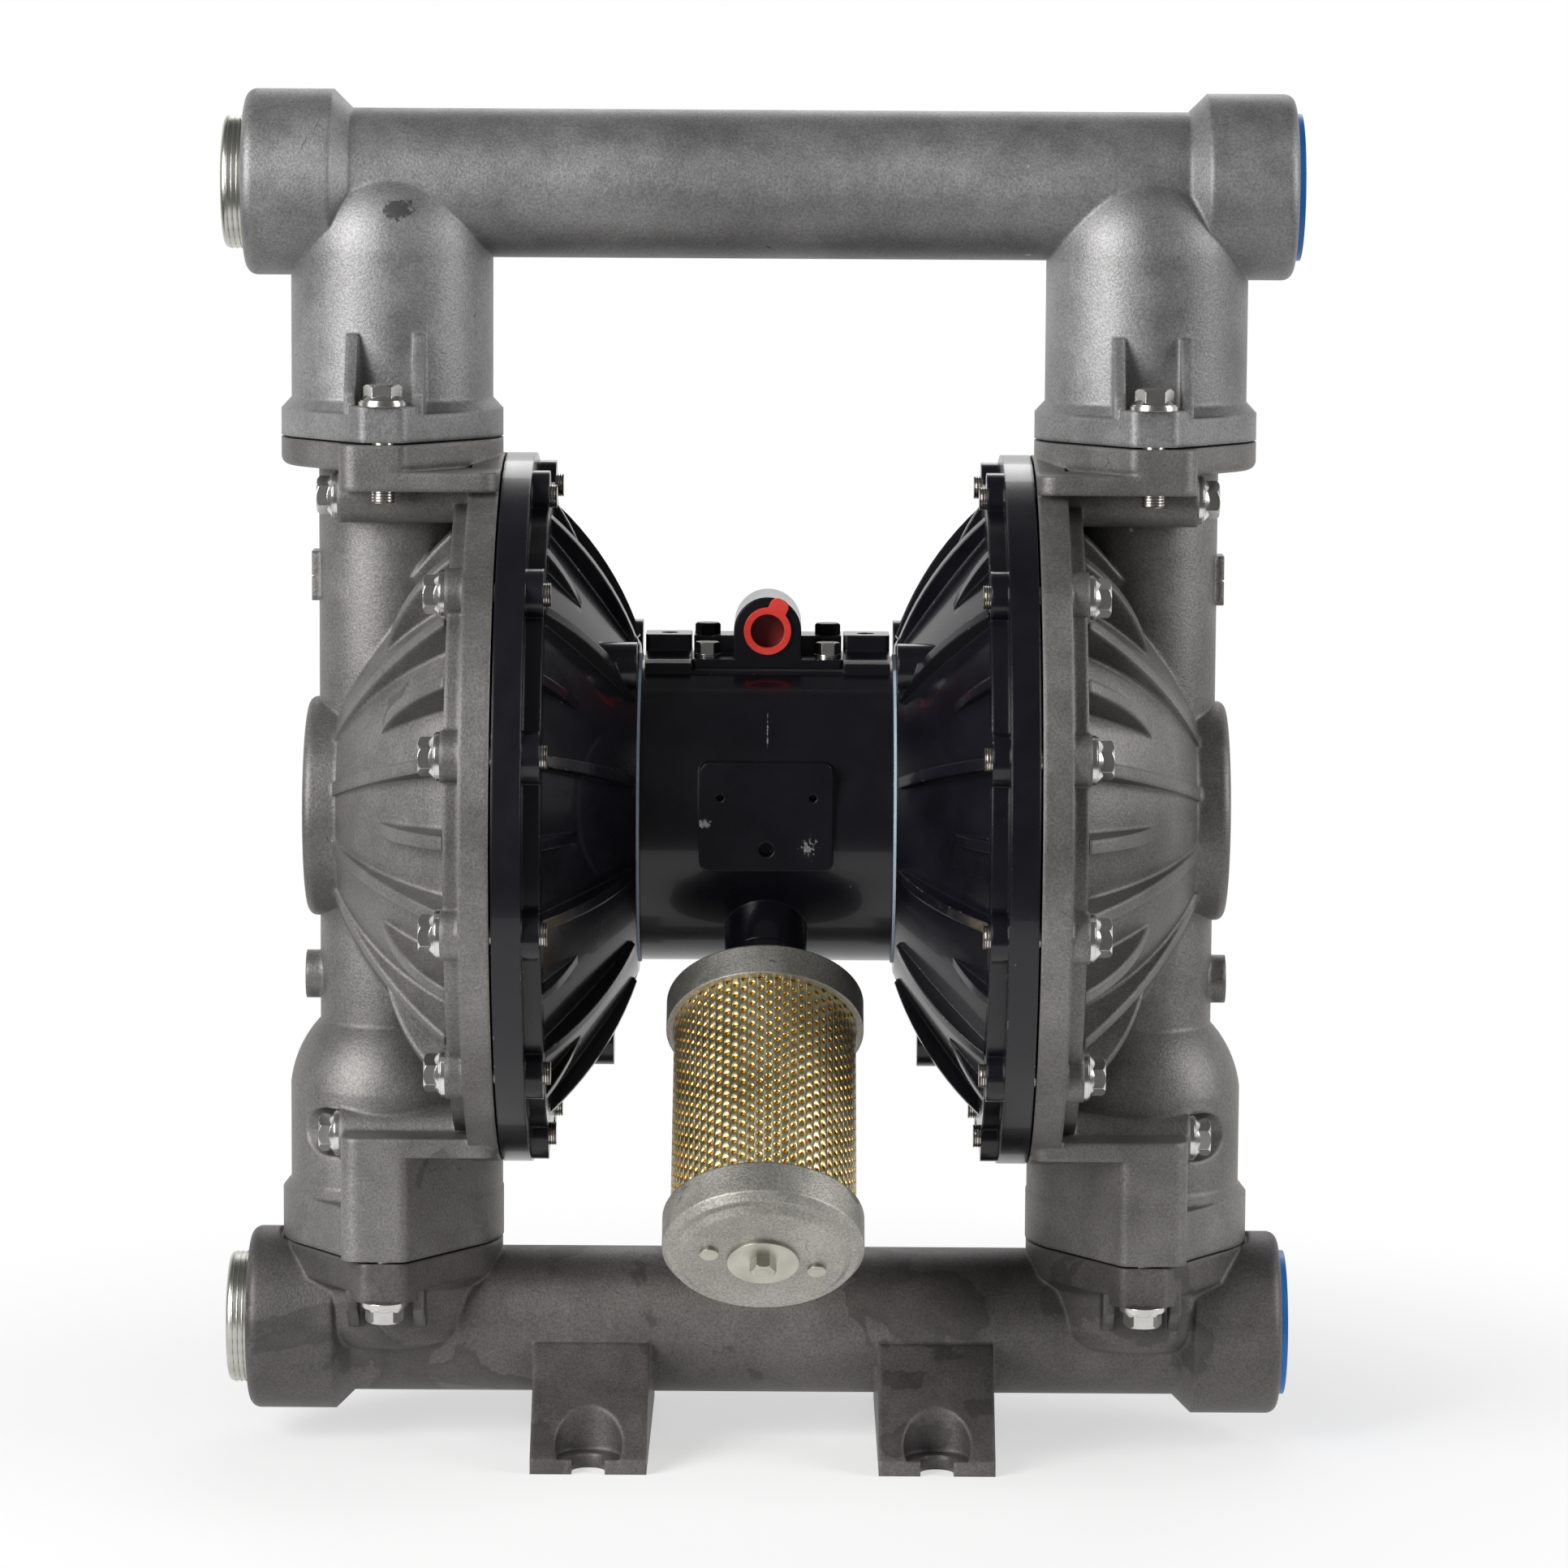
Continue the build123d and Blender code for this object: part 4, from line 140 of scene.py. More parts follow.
def blasted_casting(name, pale, body, deep, oil, oil_share, seed, spots=(), metallic=0.65,
                    rounding=2.8):
    """Sand-cast aluminium after shot blasting: a fine even grain, slow changes
    of grey from handling, thin oil marks, a few hairlines and bright knocks."""
    material, tree, shader = new_material(name)
    object_place = add(tree, "ShaderNodeTexCoord").outputs["Object"]
    place = add(tree, "ShaderNodeMapping",
                {"Vector": object_place, "Location": (seed, seed * 0.7, 0)}).outputs[0]
    # Blast grain is about 0.3 mm; it is drawn at 1.1 mm so that it shows.
    grain = add(tree, "ShaderNodeTexNoise",
                {"Vector": place, "Scale": 1 / (1.1 * MM), "Detail": 2.0,
                 "Roughness": 0.75}).outputs["Fac"]
    # Cloudy tone from handling and cooling, patches 70 mm and 16 mm wide.
    cloud = add(tree, "ShaderNodeTexNoise",
                {"Vector": place, "Scale": 1 / (70 * MM), "Detail": 3.0,
                 "Roughness": 0.5}).outputs["Fac"]
    mottle = add(tree, "ShaderNodeTexNoise",
                 {"Vector": place, "Scale": 1 / (16 * MM), "Detail": 4.0,
                  "Roughness": 0.6}).outputs["Fac"]
    tone = add(tree, "ShaderNodeValToRGB", {0: cloud},
               stops=[(0.3, paint(deep)), (0.5, paint(body)), (0.72, paint(pale))]).outputs[0]
    patch = add(tree, "ShaderNodeValToRGB", {0: mottle},
                stops=[(0.35, grey(0.9)), (0.65, grey(1.08))]).outputs[0]
    tone = add(tree, "ShaderNodeMix", {0: 1.0, 6: tone, 7: patch},
               data_type="RGBA", blend_type="MULTIPLY").outputs[2]
    speck = add(tree, "ShaderNodeValToRGB", {0: grain},
                stops=[(0.32, grey(0.74)), (0.68, grey(1.24))]).outputs[0]
    tone = add(tree, "ShaderNodeMix", {0: 1.0, 6: tone, 7: speck},
               data_type="RGBA", blend_type="MULTIPLY").outputs[2]
    # Oil that crept and dried: a wandering edge with a faint darker inside.
    spread = add(tree, "ShaderNodeTexNoise",
                 {"Vector": place, "Scale": 1 / (55 * MM), "Detail": 5.0,
                  "Roughness": 0.5, "Distortion": 0.4}).outputs["Fac"]
    oiled = add(tree, "ShaderNodeValToRGB", {0: spread},
                stops=[(1 - oil_share, BLACK), (1.012 - oil_share, grey(0.55)),
                       (1.09 - oil_share, grey(0.3))]).outputs[0]
    tone = add(tree, "ShaderNodeMix", {0: oiled, 6: tone, 7: paint(oil)},
               data_type="RGBA").outputs[2]
    # Hairlines: borders of wide bent cells, where a narrow mask lets them show.
    bent = add(tree, "ShaderNodeTexNoise",
               {"Vector": place, "Scale": 1 / (30 * MM), "Detail": 3.0}).outputs["Color"]
    bent = add(tree, "ShaderNodeVectorMath",
               {0: bent, "Scale": 30 * MM}, operation="SCALE").outputs[0]
    bent = add(tree, "ShaderNodeVectorMath", {0: place, 1: bent}, operation="ADD").outputs[0]
    border = add(tree, "ShaderNodeTexVoronoi", {"Vector": bent, "Scale": 1 / (85 * MM)},
                 feature="DISTANCE_TO_EDGE").outputs["Distance"]
    hairline = add(tree, "ShaderNodeValToRGB", {0: border},
                   stops=[(0.0, grey(0.7)), (0.004, BLACK)]).outputs[0]
    where = add(tree, "ShaderNodeValToRGB", {0: mottle},
                stops=[(0.6, BLACK), (0.66, WHITE)]).outputs[0]
    hairline = add(tree, "ShaderNodeMath", {0: hairline, 1: where},
                   operation="MULTIPLY").outputs[0]
    tone = add(tree, "ShaderNodeMix", {0: hairline, 6: tone, 7: paint("#2b2a2a")},
               data_type="RGBA").outputs[2]
    # Bright knocks: a few short flecks, 1 to 3 mm long.
    cells = add(tree, "ShaderNodeTexVoronoi", {"Vector": bent, "Scale": 1 / (34 * MM)})
    near = add(tree, "ShaderNodeValToRGB", {0: cells.outputs["Distance"]},
               stops=[(0.025, WHITE), (0.04, BLACK)]).outputs[0]
    picked = add(tree, "ShaderNodeSeparateColor", {0: cells.outputs["Color"]}).outputs[0]
    picked = add(tree, "ShaderNodeMath", {0: picked, 1: 0.8},
                 operation="GREATER_THAN").outputs[0]
    knock = add(tree, "ShaderNodeMath", {0: near, 1: picked}, operation="MULTIPLY").outputs[0]
    tone = add(tree, "ShaderNodeMix", {0: knock, 6: tone, 7: paint("#bdbbb8")},
               data_type="RGBA").outputs[2]
    for centre, reach, colour in spots:
        spot = ragged_spot(tree, object_place, centre, reach)
        tone = add(tree, "ShaderNodeMix", {0: spot, 6: tone, 7: paint(colour)},
                   data_type="RGBA").outputs[2]
    rounded, turned = softened_edge(tree, rounding * MM)
    rubbed = add(tree, "ShaderNodeValToRGB", {0: turned},
                 stops=[(0.04, BLACK), (0.3, grey(0.16))]).outputs[0]
    tone = add(tree, "ShaderNodeMix", {0: rubbed, 6: tone, 7: paint("#a5a4a2")},
               data_type="RGBA").outputs[2]
    tree.links.new(tone, shader.inputs["Base Color"])
    rough = add(tree, "ShaderNodeValToRGB", {0: mottle},
                stops=[(0.3, grey(0.46)), (0.7, grey(0.56))]).outputs[0]
    tree.links.new(rough, shader.inputs["Roughness"])
    shader.inputs["Metallic"].default_value = metallic
    relief = add(tree, "ShaderNodeBump",
                 {"Strength": 0.5, "Distance": 0.3 * MM, "Height": grain, "Normal": rounded})
    tree.links.new(relief.outputs[0], shader.inputs["Normal"])
    return material


def finish_with(material, *names):
    """Puts one material on every slot of these CAD nodes."""
    for name in names:
        mesh = nodes[name].data
        if not mesh.materials:
            mesh.materials.append(material)
        for i in range(len(mesh.materials)):
            mesh.materials[i] = material


# The darkest tones of the three castings: partly oil, partly painted shade low down.
floor_casting = blasted_casting("oiled_blasted_aluminium_casting_painted_shade", "#6f6c6b", "#625f5e",
                                "#535050", "#3f3c3c", 0.44, 3.1)
finish_with(floor_casting, "inlet_manifold")

# ---------------------------------------------------------------------------
# Fluid covers. A domed casting on each side with a valve column at its back
# and radial ribs; the same blasted aluminium, cleaner, and its grey a little paler,
# partly as painted light for standing higher than the inlet manifold.
# ---------------------------------------------------------------------------
cover_casting = blasted_casting("blasted_aluminium_casting", "#838180", "#767472",
                                "#656362", "#504e4d", 0.3, 7.3)
finish_with(cover_casting, "left_fluid_cover", "right_fluid_cover")

# ---------------------------------------------------------------------------
# Outlet manifold. The upper header with its two legs and flanges, from the
# same foundry and blast room; the cleanest of the castings, and the palest,
# partly as painted light for being the highest.
# ---------------------------------------------------------------------------
top_casting = blasted_casting("clean_blasted_aluminium_casting_painted_light", "#969595", "#898888",
                              "#787777", "#605e5e", 0.26, 11.9,
                              [((-165.5, -45, 563.7), (9, 22, 6), "#565555")])
finish_with(top_casting, "outlet_manifold")

# ---------------------------------------------------------------------------
# Air covers and centre housing. Aluminium castings under a stoved black
# enamel: a smooth gloss coat with slight orange peel, dust specks and a few
# chips down to pale metal along the edges.
# ---------------------------------------------------------------------------


def stoved_enamel(name, chips, worn=()):
    """Gloss black enamel over a casting, chipped where the noise passes chips;
    worn lists the centres and reaches in mm of spots rubbed to the metal."""
    material, tree, shader = new_material(name)
    place = add(tree, "ShaderNodeTexCoord").outputs["Object"]
    # Orange peel: shallow waves about 2.5 mm across.
    peel = add(tree, "ShaderNodeTexNoise",
               {"Vector": place, "Scale": 1 / (2.5 * MM), "Detail": 2.0}).outputs["Fac"]
    haze = add(tree, "ShaderNodeTexNoise",
               {"Vector": place, "Scale": 1 / (35 * MM), "Detail": 5.0,
                "Roughness": 0.6}).outputs["Fac"]
    tone = add(tree, "ShaderNodeValToRGB", {0: haze},
               stops=[(0.3, paint("#0b0a10")), (0.7, paint("#14131a"))]).outputs[0]
    # Dust and small nicks, under 1 mm.
    cells = add(tree, "ShaderNodeTexVoronoi", {"Vector": place, "Scale": 1 / (9 * MM)})
    near = add(tree, "ShaderNodeValToRGB", {0: cells.outputs["Distance"]},
               stops=[(0.025, WHITE), (0.05, BLACK)]).outputs[0]
    picked = add(tree, "ShaderNodeSeparateColor", {0: cells.outputs["Color"]}).outputs[1]
    picked = add(tree, "ShaderNodeMath", {0: picked, 1: 0.9},
                 operation="GREATER_THAN").outputs[0]
    nick = add(tree, "ShaderNodeMath", {0: near, 1: picked}, operation="MULTIPLY").outputs[0]
    tone = add(tree, "ShaderNodeMix", {0: nick, 6: tone, 7: paint("#5c5c60")},
               data_type="RGBA").outputs[2]
    # Edge chips where the coat is thin: small bits of bare metal.
    rounded, turned = softened_edge(tree, 1.5 * MM)
    edge = add(tree, "ShaderNodeValToRGB", {0: turned},
               stops=[(0.1, BLACK), (0.25, WHITE)]).outputs[0]
    broken = add(tree, "ShaderNodeTexNoise",
                 {"Vector": place, "Scale": 1 / (7 * MM), "Detail": 4.0,
                  "Roughness": 0.7}).outputs["Fac"]
    broken = add(tree, "ShaderNodeMath", {0: broken, 1: chips},
                 operation="GREATER_THAN").outputs[0]
    bare = add(tree, "ShaderNodeMath", {0: edge, 1: broken}, operation="MULTIPLY").outputs[0]
    for centre, reach in worn:
        bare = add(tree, "ShaderNodeMath",
                   {0: bare, 1: ragged_spot(tree, place, centre, reach, 1.6)},
                   operation="MAXIMUM").outputs[0]
    tone = add(tree, "ShaderNodeMix", {0: bare, 6: tone, 7: paint("#858482")},
               data_type="RGBA").outputs[2]
    tree.links.new(tone, shader.inputs["Base Color"])
    rough = add(tree, "ShaderNodeValToRGB", {0: haze},
                stops=[(0.3, grey(0.24)), (0.7, grey(0.32))]).outputs[0]
    tree.links.new(rough, shader.inputs["Roughness"])
    shader.inputs["IOR"].default_value = 1.4
    shader.inputs["Coat Weight"].default_value = 0.3
    shader.inputs["Coat Roughness"].default_value = 0.07
    relief = add(tree, "ShaderNodeBump",
                 {"Strength": 0.08, "Distance": 0.2 * MM, "Height": peel, "Normal": rounded})
    tree.links.new(relief.outputs[0], shader.inputs["Normal"])
    return material


black_enamel = stoved_enamel("stoved_black_enamel", 0.64)
# The housing has a scratch over its plate pad, and worn spots beside the pad.
scratched_enamel = stoved_enamel("scratched_black_enamel", 0.66,
                                 [((0.3, -62, 335), (0.45, 14, 11)),
                                  ((-28, -73, 293), (4.5, 3, 3)),
                                  ((19, -73.5, 282), (6, 3, 7))])
finish_with(scratched_enamel, "centre_housing")
finish_with(black_enamel, "left_air_cover", "right_air_cover", "air_inlet_block",
            "valve_body", "valve_end_caps", "muffler_neck")

# ---------------------------------------------------------------------------
# Gaskets, seals and rubber. The hub gaskets are pale blue fibre sheet pressed
# between machined faces; the block and valve gaskets, the seals, balls and
# diaphragms are moulded black rubber, and the ball seats white plastic.
# ---------------------------------------------------------------------------


def fine_grained(name, first, second, roughness, grain_mm, bump, metallic=0.0, edge=0.0):
    """A plain material with a fine grain of its own size and two near tones."""
    material, tree, shader = new_material(name)
    place = add(tree, "ShaderNodeTexCoord").outputs["Object"]
    grain = add(tree, "ShaderNodeTexNoise",
                {"Vector": place, "Scale": 1 / (grain_mm * MM), "Detail": 3.0,
                 "Roughness": 0.6}).outputs["Fac"]
    broad = add(tree, "ShaderNodeTexNoise",
                {"Vector": place, "Scale": 1 / (18 * MM), "Detail": 4.0}).outputs["Fac"]
    tone = add(tree, "ShaderNodeValToRGB", {0: broad},
               stops=[(0.3, paint(first)), (0.7, paint(second))]).outputs[0]
    speck = add(tree, "ShaderNodeValToRGB", {0: grain},
                stops=[(0.3, grey(0.88)), (0.7, grey(1.08))]).outputs[0]
    tone = add(tree, "ShaderNodeMix", {0: 1.0, 6: tone, 7: speck},
               data_type="RGBA", blend_type="MULTIPLY").outputs[2]
    tree.links.new(tone, shader.inputs["Base Color"])
    rough = add(tree, "ShaderNodeValToRGB", {0: broad},
                stops=[(0.3, grey(roughness * 0.85)),
                       (0.7, grey(min(1.0, roughness * 1.15)))]).outputs[0]
    tree.links.new(rough, shader.inputs["Roughness"])
    shader.inputs["Metallic"].default_value = metallic
    inputs = {"Strength": bump, "Distance": 0.15 * MM, "Height": grain}
    if edge:
        inputs["Normal"] = softened_edge(tree, edge * MM)[0]
    relief = add(tree, "ShaderNodeBump", inputs)
    tree.links.new(relief.outputs[0], shader.inputs["Normal"])
    return material


fibre_gasket = fine_grained("compressed_fibre_gasket", "#a9bccb", "#bccad6", 0.7, 0.8, 0.3)
finish_with(fibre_gasket, "left_hub_gasket", "right_hub_gasket")
moulded_rubber = fine_grained("moulded_black_rubber", "#161616", "#1f1f20", 0.62, 1.2, 0.25)
finish_with(moulded_rubber, "left_diaphragm", "right_diaphragm", "rod_seals",
            "inlet_joint_seals", "outlet_joint_seals", "inlet_left_ball",
            "inlet_right_ball", "outlet_left_ball", "outlet_right_ball",
            "inlet_block_gasket", "valve_gasket")
seat_plastic = fine_grained("turned_white_ptfe", "#dcdad2", "#e8e6df", 0.4, 1.0, 0.1)
finish_with(seat_plastic, "inlet_left_seat", "inlet_right_seat", "outlet_left_seat",
            "outlet_right_seat")

# ---------------------------------------------------------------------------
# Rod, plates and pilot valve. Ground steel rod, cast and turned aluminium
# plates that clamp the diaphragms, bronze bushes and a brass pilot sleeve.
# ---------------------------------------------------------------------------


def drawn_metal(name, first, second, roughness, streak_axis, edge=0.6):
    """Plated or machined metal with fine streaks along or around one axis."""
    material, tree, shader = new_material(name)
    place = add(tree, "ShaderNodeTexCoord").outputs["Object"]
    # Tool marks 0.5 mm apart, stretched forty times along the cut.
    stretch = [1 / (0.5 * MM)] * 3
    stretch[streak_axis] = 1 / (20 * MM)
    streaks = add(tree, "ShaderNodeTexNoise",
                  {"Vector": add(tree, "ShaderNodeMapping",
                                 {"Vector": place, "Scale": tuple(stretch)}).outputs[0],
                   "Scale": 1.0, "Detail": 2.0}).outputs["Fac"]
    broad = add(tree, "ShaderNodeTexNoise",
                {"Vector": place, "Scale": 1 / (12 * MM), "Detail": 2.0}).outputs["Fac"]
    tone = add(tree, "ShaderNodeValToRGB", {0: broad},
               stops=[(0.3, paint(first)), (0.7, paint(second))]).outputs[0]
    tree.links.new(tone, shader.inputs["Base Color"])
    rough = add(tree, "ShaderNodeValToRGB", {0: streaks},
                stops=[(0.3, grey(roughness * 0.95)), (0.7, grey(roughness * 1.08))]).outputs[0]
    tree.links.new(rough, shader.inputs["Roughness"])
    shader.inputs["Metallic"].default_value = 1.0
    relief = add(tree, "ShaderNodeBump",
                 {"Strength": 0.04, "Distance": 0.03 * MM, "Height": streaks,
                  "Normal": softened_edge(tree, edge * MM)[0]})
    tree.links.new(relief.outputs[0], shader.inputs["Normal"])
    return material


ground_steel = drawn_metal("ground_carbon_steel", "#9b9a98", "#b4b3b0", 0.22, 0)
finish_with(ground_steel, "diaphragm_rod", "pilot_spool", "valve_spool")
turned_plate = fine_grained("turned_aluminium_plate", "#8f8f8d", "#a6a6a3", 0.42, 0.7, 0.2, 1.0)
finish_with(turned_plate, "left_outer_plate", "right_outer_plate", "left_inner_plate",
            "right_inner_plate")
sintered_bronze = fine_grained("sintered_bronze", "#8a6a3a", "#a07c46", 0.45, 0.6, 0.3, 1.0)
finish_with(sintered_bronze, "rod_bushes")
turned_brass = drawn_metal("turned_brass", "#b8963f", "#c9a855", 0.3, 0)
finish_with(turned_brass, "pilot_sleeve", "valve_sleeve")

# ---------------------------------------------------------------------------
# Fasteners. Zinc-plated steel flange bolts and washers, bright and slightly
# cool, with dull streaks where the plating is thin.
# ---------------------------------------------------------------------------
bright_zinc = drawn_metal("bright_zinc_plated_steel", "#d0cfcc", "#e6e4e0", 0.24, 2, 0.35)
finish_with(bright_zinc, "outlet_flange_bolts", "inlet_flange_bolts", "left_cover_bolts",
            "right_cover_bolts", "left_long_bolts", "right_long_bolts", "bolt_washers",
            "inlet_block_front_bolts", "valve_bolts")
black_oxide = fine_grained("black_oxide_steel", "#1c1c1e", "#28282a", 0.38, 0.8, 0.15, 1.0, 0.5)
finish_with(black_oxide, "inlet_block_rear_bolts", "hub_screws")

# The rolled thread shows where a bolt's end leaves its lug: a stack of ridges
# with grease and dirt in the grooves.
threading = bpy.data.node_groups.new("ridge_stack", "GeometryNodeTree")
for label, kind in (("Core", "NodeSocketGeometry"), ("Core Radius", "NodeSocketFloat"),
                    ("Ridge", "NodeSocketFloat"), ("Pitch", "NodeSocketFloat"),
                    ("Count", "NodeSocketInt"), ("Finish", "NodeSocketMaterial")):
    threading.interface.new_socket(label, in_out="INPUT", socket_type=kind)
threading.interface.new_socket("Ridges", in_out="OUTPUT", socket_type="NodeSocketGeometry")
given = add(threading, "NodeGroupInput").outputs
ridge = add(threading, "GeometryNodeCurveToMesh",
            {"Curve": add(threading, "GeometryNodeCurvePrimitiveCircle",
                          {"Resolution": 32, "Radius": given["Core Radius"]}).outputs[0],
             "Profile Curve": add(threading, "GeometryNodeCurvePrimitiveCircle",
                                  {"Resolution": 4, "Radius": given["Ridge"]}).outputs[0]})
climb = add(threading, "ShaderNodeCombineXYZ", {"Z": given["Pitch"]}).outputs[0]
ladder = add(threading, "GeometryNodeMeshLine", {"Count": given["Count"], "Offset": climb})
ridges = add(threading, "GeometryNodeInstanceOnPoints",
             {"Points": ladder.outputs[0], "Instance": ridge.outputs[0]}).outputs[0]
ridges = add(threading, "GeometryNodeRealizeInstances", {0: ridges}).outputs[0]
ridges = add(threading, "GeometryNodeSetMaterial",
             {"Geometry": ridges, "Material": given["Finish"]}).outputs[0]
add(threading, "NodeGroupOutput", {0: ridges})


def grown(tree, start_mesh, inputs):
    """The plain mesh that a geometry tree makes from a start mesh."""
    carrier = bpy.data.objects.new(tree.name, start_mesh)
    bpy.context.scene.collection.objects.link(carrier)
    work = carrier.modifiers.new("work", "NODES")
    work.node_group = tree
    for item in tree.interface.items_tree:
        if item.in_out == "INPUT" and item.name in inputs:
            work[item.identifier] = inputs[item.name]
    bpy.context.view_layer.update()
    done = carrier.evaluated_get(bpy.context.evaluated_depsgraph_get())
    made = bpy.data.meshes.new_from_object(done)
    bpy.data.objects.remove(carrier)
    return made


def ridge_piece(name, material, places, radius, ridge, pitch, count):
    """One stack of ridges at each place, climbing along the place's Z."""
    stack = grown(threading, bpy.data.meshes.new(name),
                  {"Core Radius": radius * MM, "Ridge": ridge * MM, "Pitch": pitch * MM,
                   "Count": count, "Finish": material})
    joined = bmesh.new()
    for place in places:
        placed = stack.copy()
        placed.transform(place)
        joined.from_mesh(placed)
    bmesh.ops.recalc_face_normals(joined, faces=joined.faces)
    mesh = bpy.data.meshes.new(name)
    joined.to_mesh(mesh)
    joined.free()
    mesh.materials.append(material)
    for polygon in mesh.polygons:
        polygon.use_smooth = True
    piece = bpy.data.objects.new(name, mesh)
    bpy.context.scene.collection.objects.link(piece)
    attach(piece, "pump_body")


def facing(point, along):
    """A place at a point in mm whose Z lies along a direction."""
    return Matrix.Translation(Vector(point) * MM) @ Vector(along).to_track_quat(
        "Z", "Y").to_matrix().to_4x4()


PUMP_AXIS_Z = 291.8
BOLT_CIRCLE = 149.5
STUD_END = 94.3  # ends of the rim bolts, from the middle plane
COLUMN_X, EAR_Y = 170.5, 66.0  # flange bolts, from the middle planes
RIM_BOLTS = 12
THREAD_CORE, THREAD_RIDGE = 4.9, 0.4
greasy_thread = drawn_metal("greasy_rolled_steel_thread", "#6d655a", "#8f877b", 0.38, 2, 0.2)
rim_turns = [math.tau * (number + 0.5) / RIM_BOLTS for number in range(RIM_BOLTS)]
ridge_piece("rim_bolt_threads", greasy_thread,
            [facing((side * (STUD_END + 0.4), -BOLT_CIRCLE * math.cos(turn),
                     PUMP_AXIS_Z + BOLT_CIRCLE * math.sin(turn)), (side, 0, 0))
             for side in (-1, 1) for turn in rim_turns],
            THREAD_CORE, THREAD_RIDGE, 1.1, 3)
flange_tip_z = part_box("outlet_flange_bolts")[0].z / MM
ridge_piece("flange_bolt_threads", greasy_thread,
            [facing((x, y, flange_tip_z + 0.7), (0, 0, 1))
             for x in (-COLUMN_X, COLUMN_X) for y in (-EAR_Y, EAR_Y)],
            THREAD_CORE, THREAD_RIDGE, 1.3, 4)

# ---------------------------------------------------------------------------
# Port plugs and dust caps. Zinc-plated threaded plugs shut the left ports;
# moulded blue polythene caps sit in the right ones until they are piped.
# ---------------------------------------------------------------------------
plug_zinc = drawn_metal("zinc_plated_plug", "#b4b4ac", "#cbcbc3", 0.3, 1)
finish_with(plug_zinc, "outlet_pipe_plug", "inlet_pipe_plug")
PLUG_RADIUS, PLUG_RIDGE, PLUG_PITCH = 29.8, 0.55, 2.3
for level in ("outlet", "inlet"):
    low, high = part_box(f"{level}_pipe_plug")
    ridge_piece(f"{level}_plug_thread", plug_zinc,
                [facing((low.x / MM + 3.0, 0, (low.z + high.z) / 2 / MM), (1, 0, 0))],
                PLUG_RADIUS - 0.1, PLUG_RIDGE, PLUG_PITCH, 3)
blue_cap = fine_grained("moulded_blue_polythene", "#1c6fc4", "#2b83d8", 0.42, 0.9, 0.1, 0.0, 0.6)
finish_with(blue_cap, "outlet_dust_cap", "inlet_dust_cap")
red_plug = fine_grained("moulded_red_polythene", "#d8352a", "#e0443a", 0.4, 0.9, 0.1, 0.0, 0.6)
# Little light reaches the bottom of the cup, so its wall goes to maroon.
red_tree = red_plug.node_tree
red_shader = red_tree.nodes["Principled BSDF"]
red_tone = red_shader.inputs["Base Color"].links[0].from_socket
depth = add(red_tree, "ShaderNodeSeparateXYZ",
            {0: add(red_tree, "ShaderNodeTexCoord").outputs["Object"]}).outputs[1]
plug_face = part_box("air_dust_plug")[0].y
deep = add(red_tree, "ShaderNodeMapRange",
           {"Value": depth, "From Min": plug_face + 1.7 * MM,
            "From Max": plug_face + 5 * MM}).outputs[0]
red_tone = add(red_tree, "ShaderNodeMix", {0: deep, 6: red_tone, 7: paint("#7a1a1c")},
               data_type="RGBA").outputs[2]
red_tree.links.new(red_tone, red_shader.inputs["Base Color"])
finish_with(red_plug, "air_dust_plug")

# ---------------------------------------------------------------------------
# Exhaust muffler. It screws into the housing at 45 degrees: two cast
# aluminium caps on a tie rod hold a perforated brass-coloured sleeve round a
# felt element. The sleeve is punched from sheet, rolled and seamed.
# ---------------------------------------------------------------------------
cap_casting = blasted_casting("die_cast_aluminium_cap", "#b9b6b0", "#a9a7a0", "#97958e",
                              "#5f5d58", 0.36, 30.4, (), 0.92, 1.2)
finish_with(cap_casting, "muffler_top_cap", "muffler_bottom_cap")
dull_zinc = drawn_metal("dull_zinc_plated_steel", "#b3b1a6", "#c8c6ba", 0.36, 2, 0.4)
finish_with(dull_zinc, "muffler_tie_rod", "muffler_fasteners")
gold_felt = fine_grained("gold_coloured_filter_felt", "#d8a636", "#eabf55", 0.8, 1.4, 0.5)
finish_with(gold_felt, "muffler_element")

HOLE_COLUMNS, HOLE_ROWS = 68, 22
SLEEVE_RADIUS = 40.3 * MM
DIMPLE_RADIUS = 1.35 * MM
HOLE_RADIUS = 0.8 * MM
DIMPLE_DEPTH = 0.3 * MM
ROW_PITCH = 5.55 * MM
COLUMN_PITCH = 2 * math.pi * SLEEVE_RADIUS / HOLE_COLUMNS
SLEEVE_START = 115 * MM
SHEET_THICKNESS = 0.8 * MM

# One tile of sheet with one hole: a flat land, then the dimple that the punch
# pressed round the hole.
tile = bmesh.new()
rings = [[], [], []]
for k in range(12):
    side, step = divmod(k, 3)
    along = step / 3 * 2 - 1
    x, y = [(1, along), (-along, 1), (-1, -along), (along, -1)][side]
    rings[0].append(tile.verts.new((x * COLUMN_PITCH / 2, y * ROW_PITCH / 2, 0)))
    turn = math.radians(-45 + 30 * k)
    for number, radius, drop in ((1, DIMPLE_RADIUS, 0), (2, HOLE_RADIUS, -DIMPLE_DEPTH)):
        rings[number].append(tile.verts.new((radius * math.cos(turn),
                                             radius * math.sin(turn), drop)))
for outer, inner in zip(rings, rings[1:]):
    for k in range(12):
        after = (k + 1) % 12
        tile.faces.new((outer[k], outer[after], inner[after], inner[k]))
tile_mesh = bpy.data.meshes.new("punched_tile")
tile.to_mesh(tile_mesh)
tile.free()

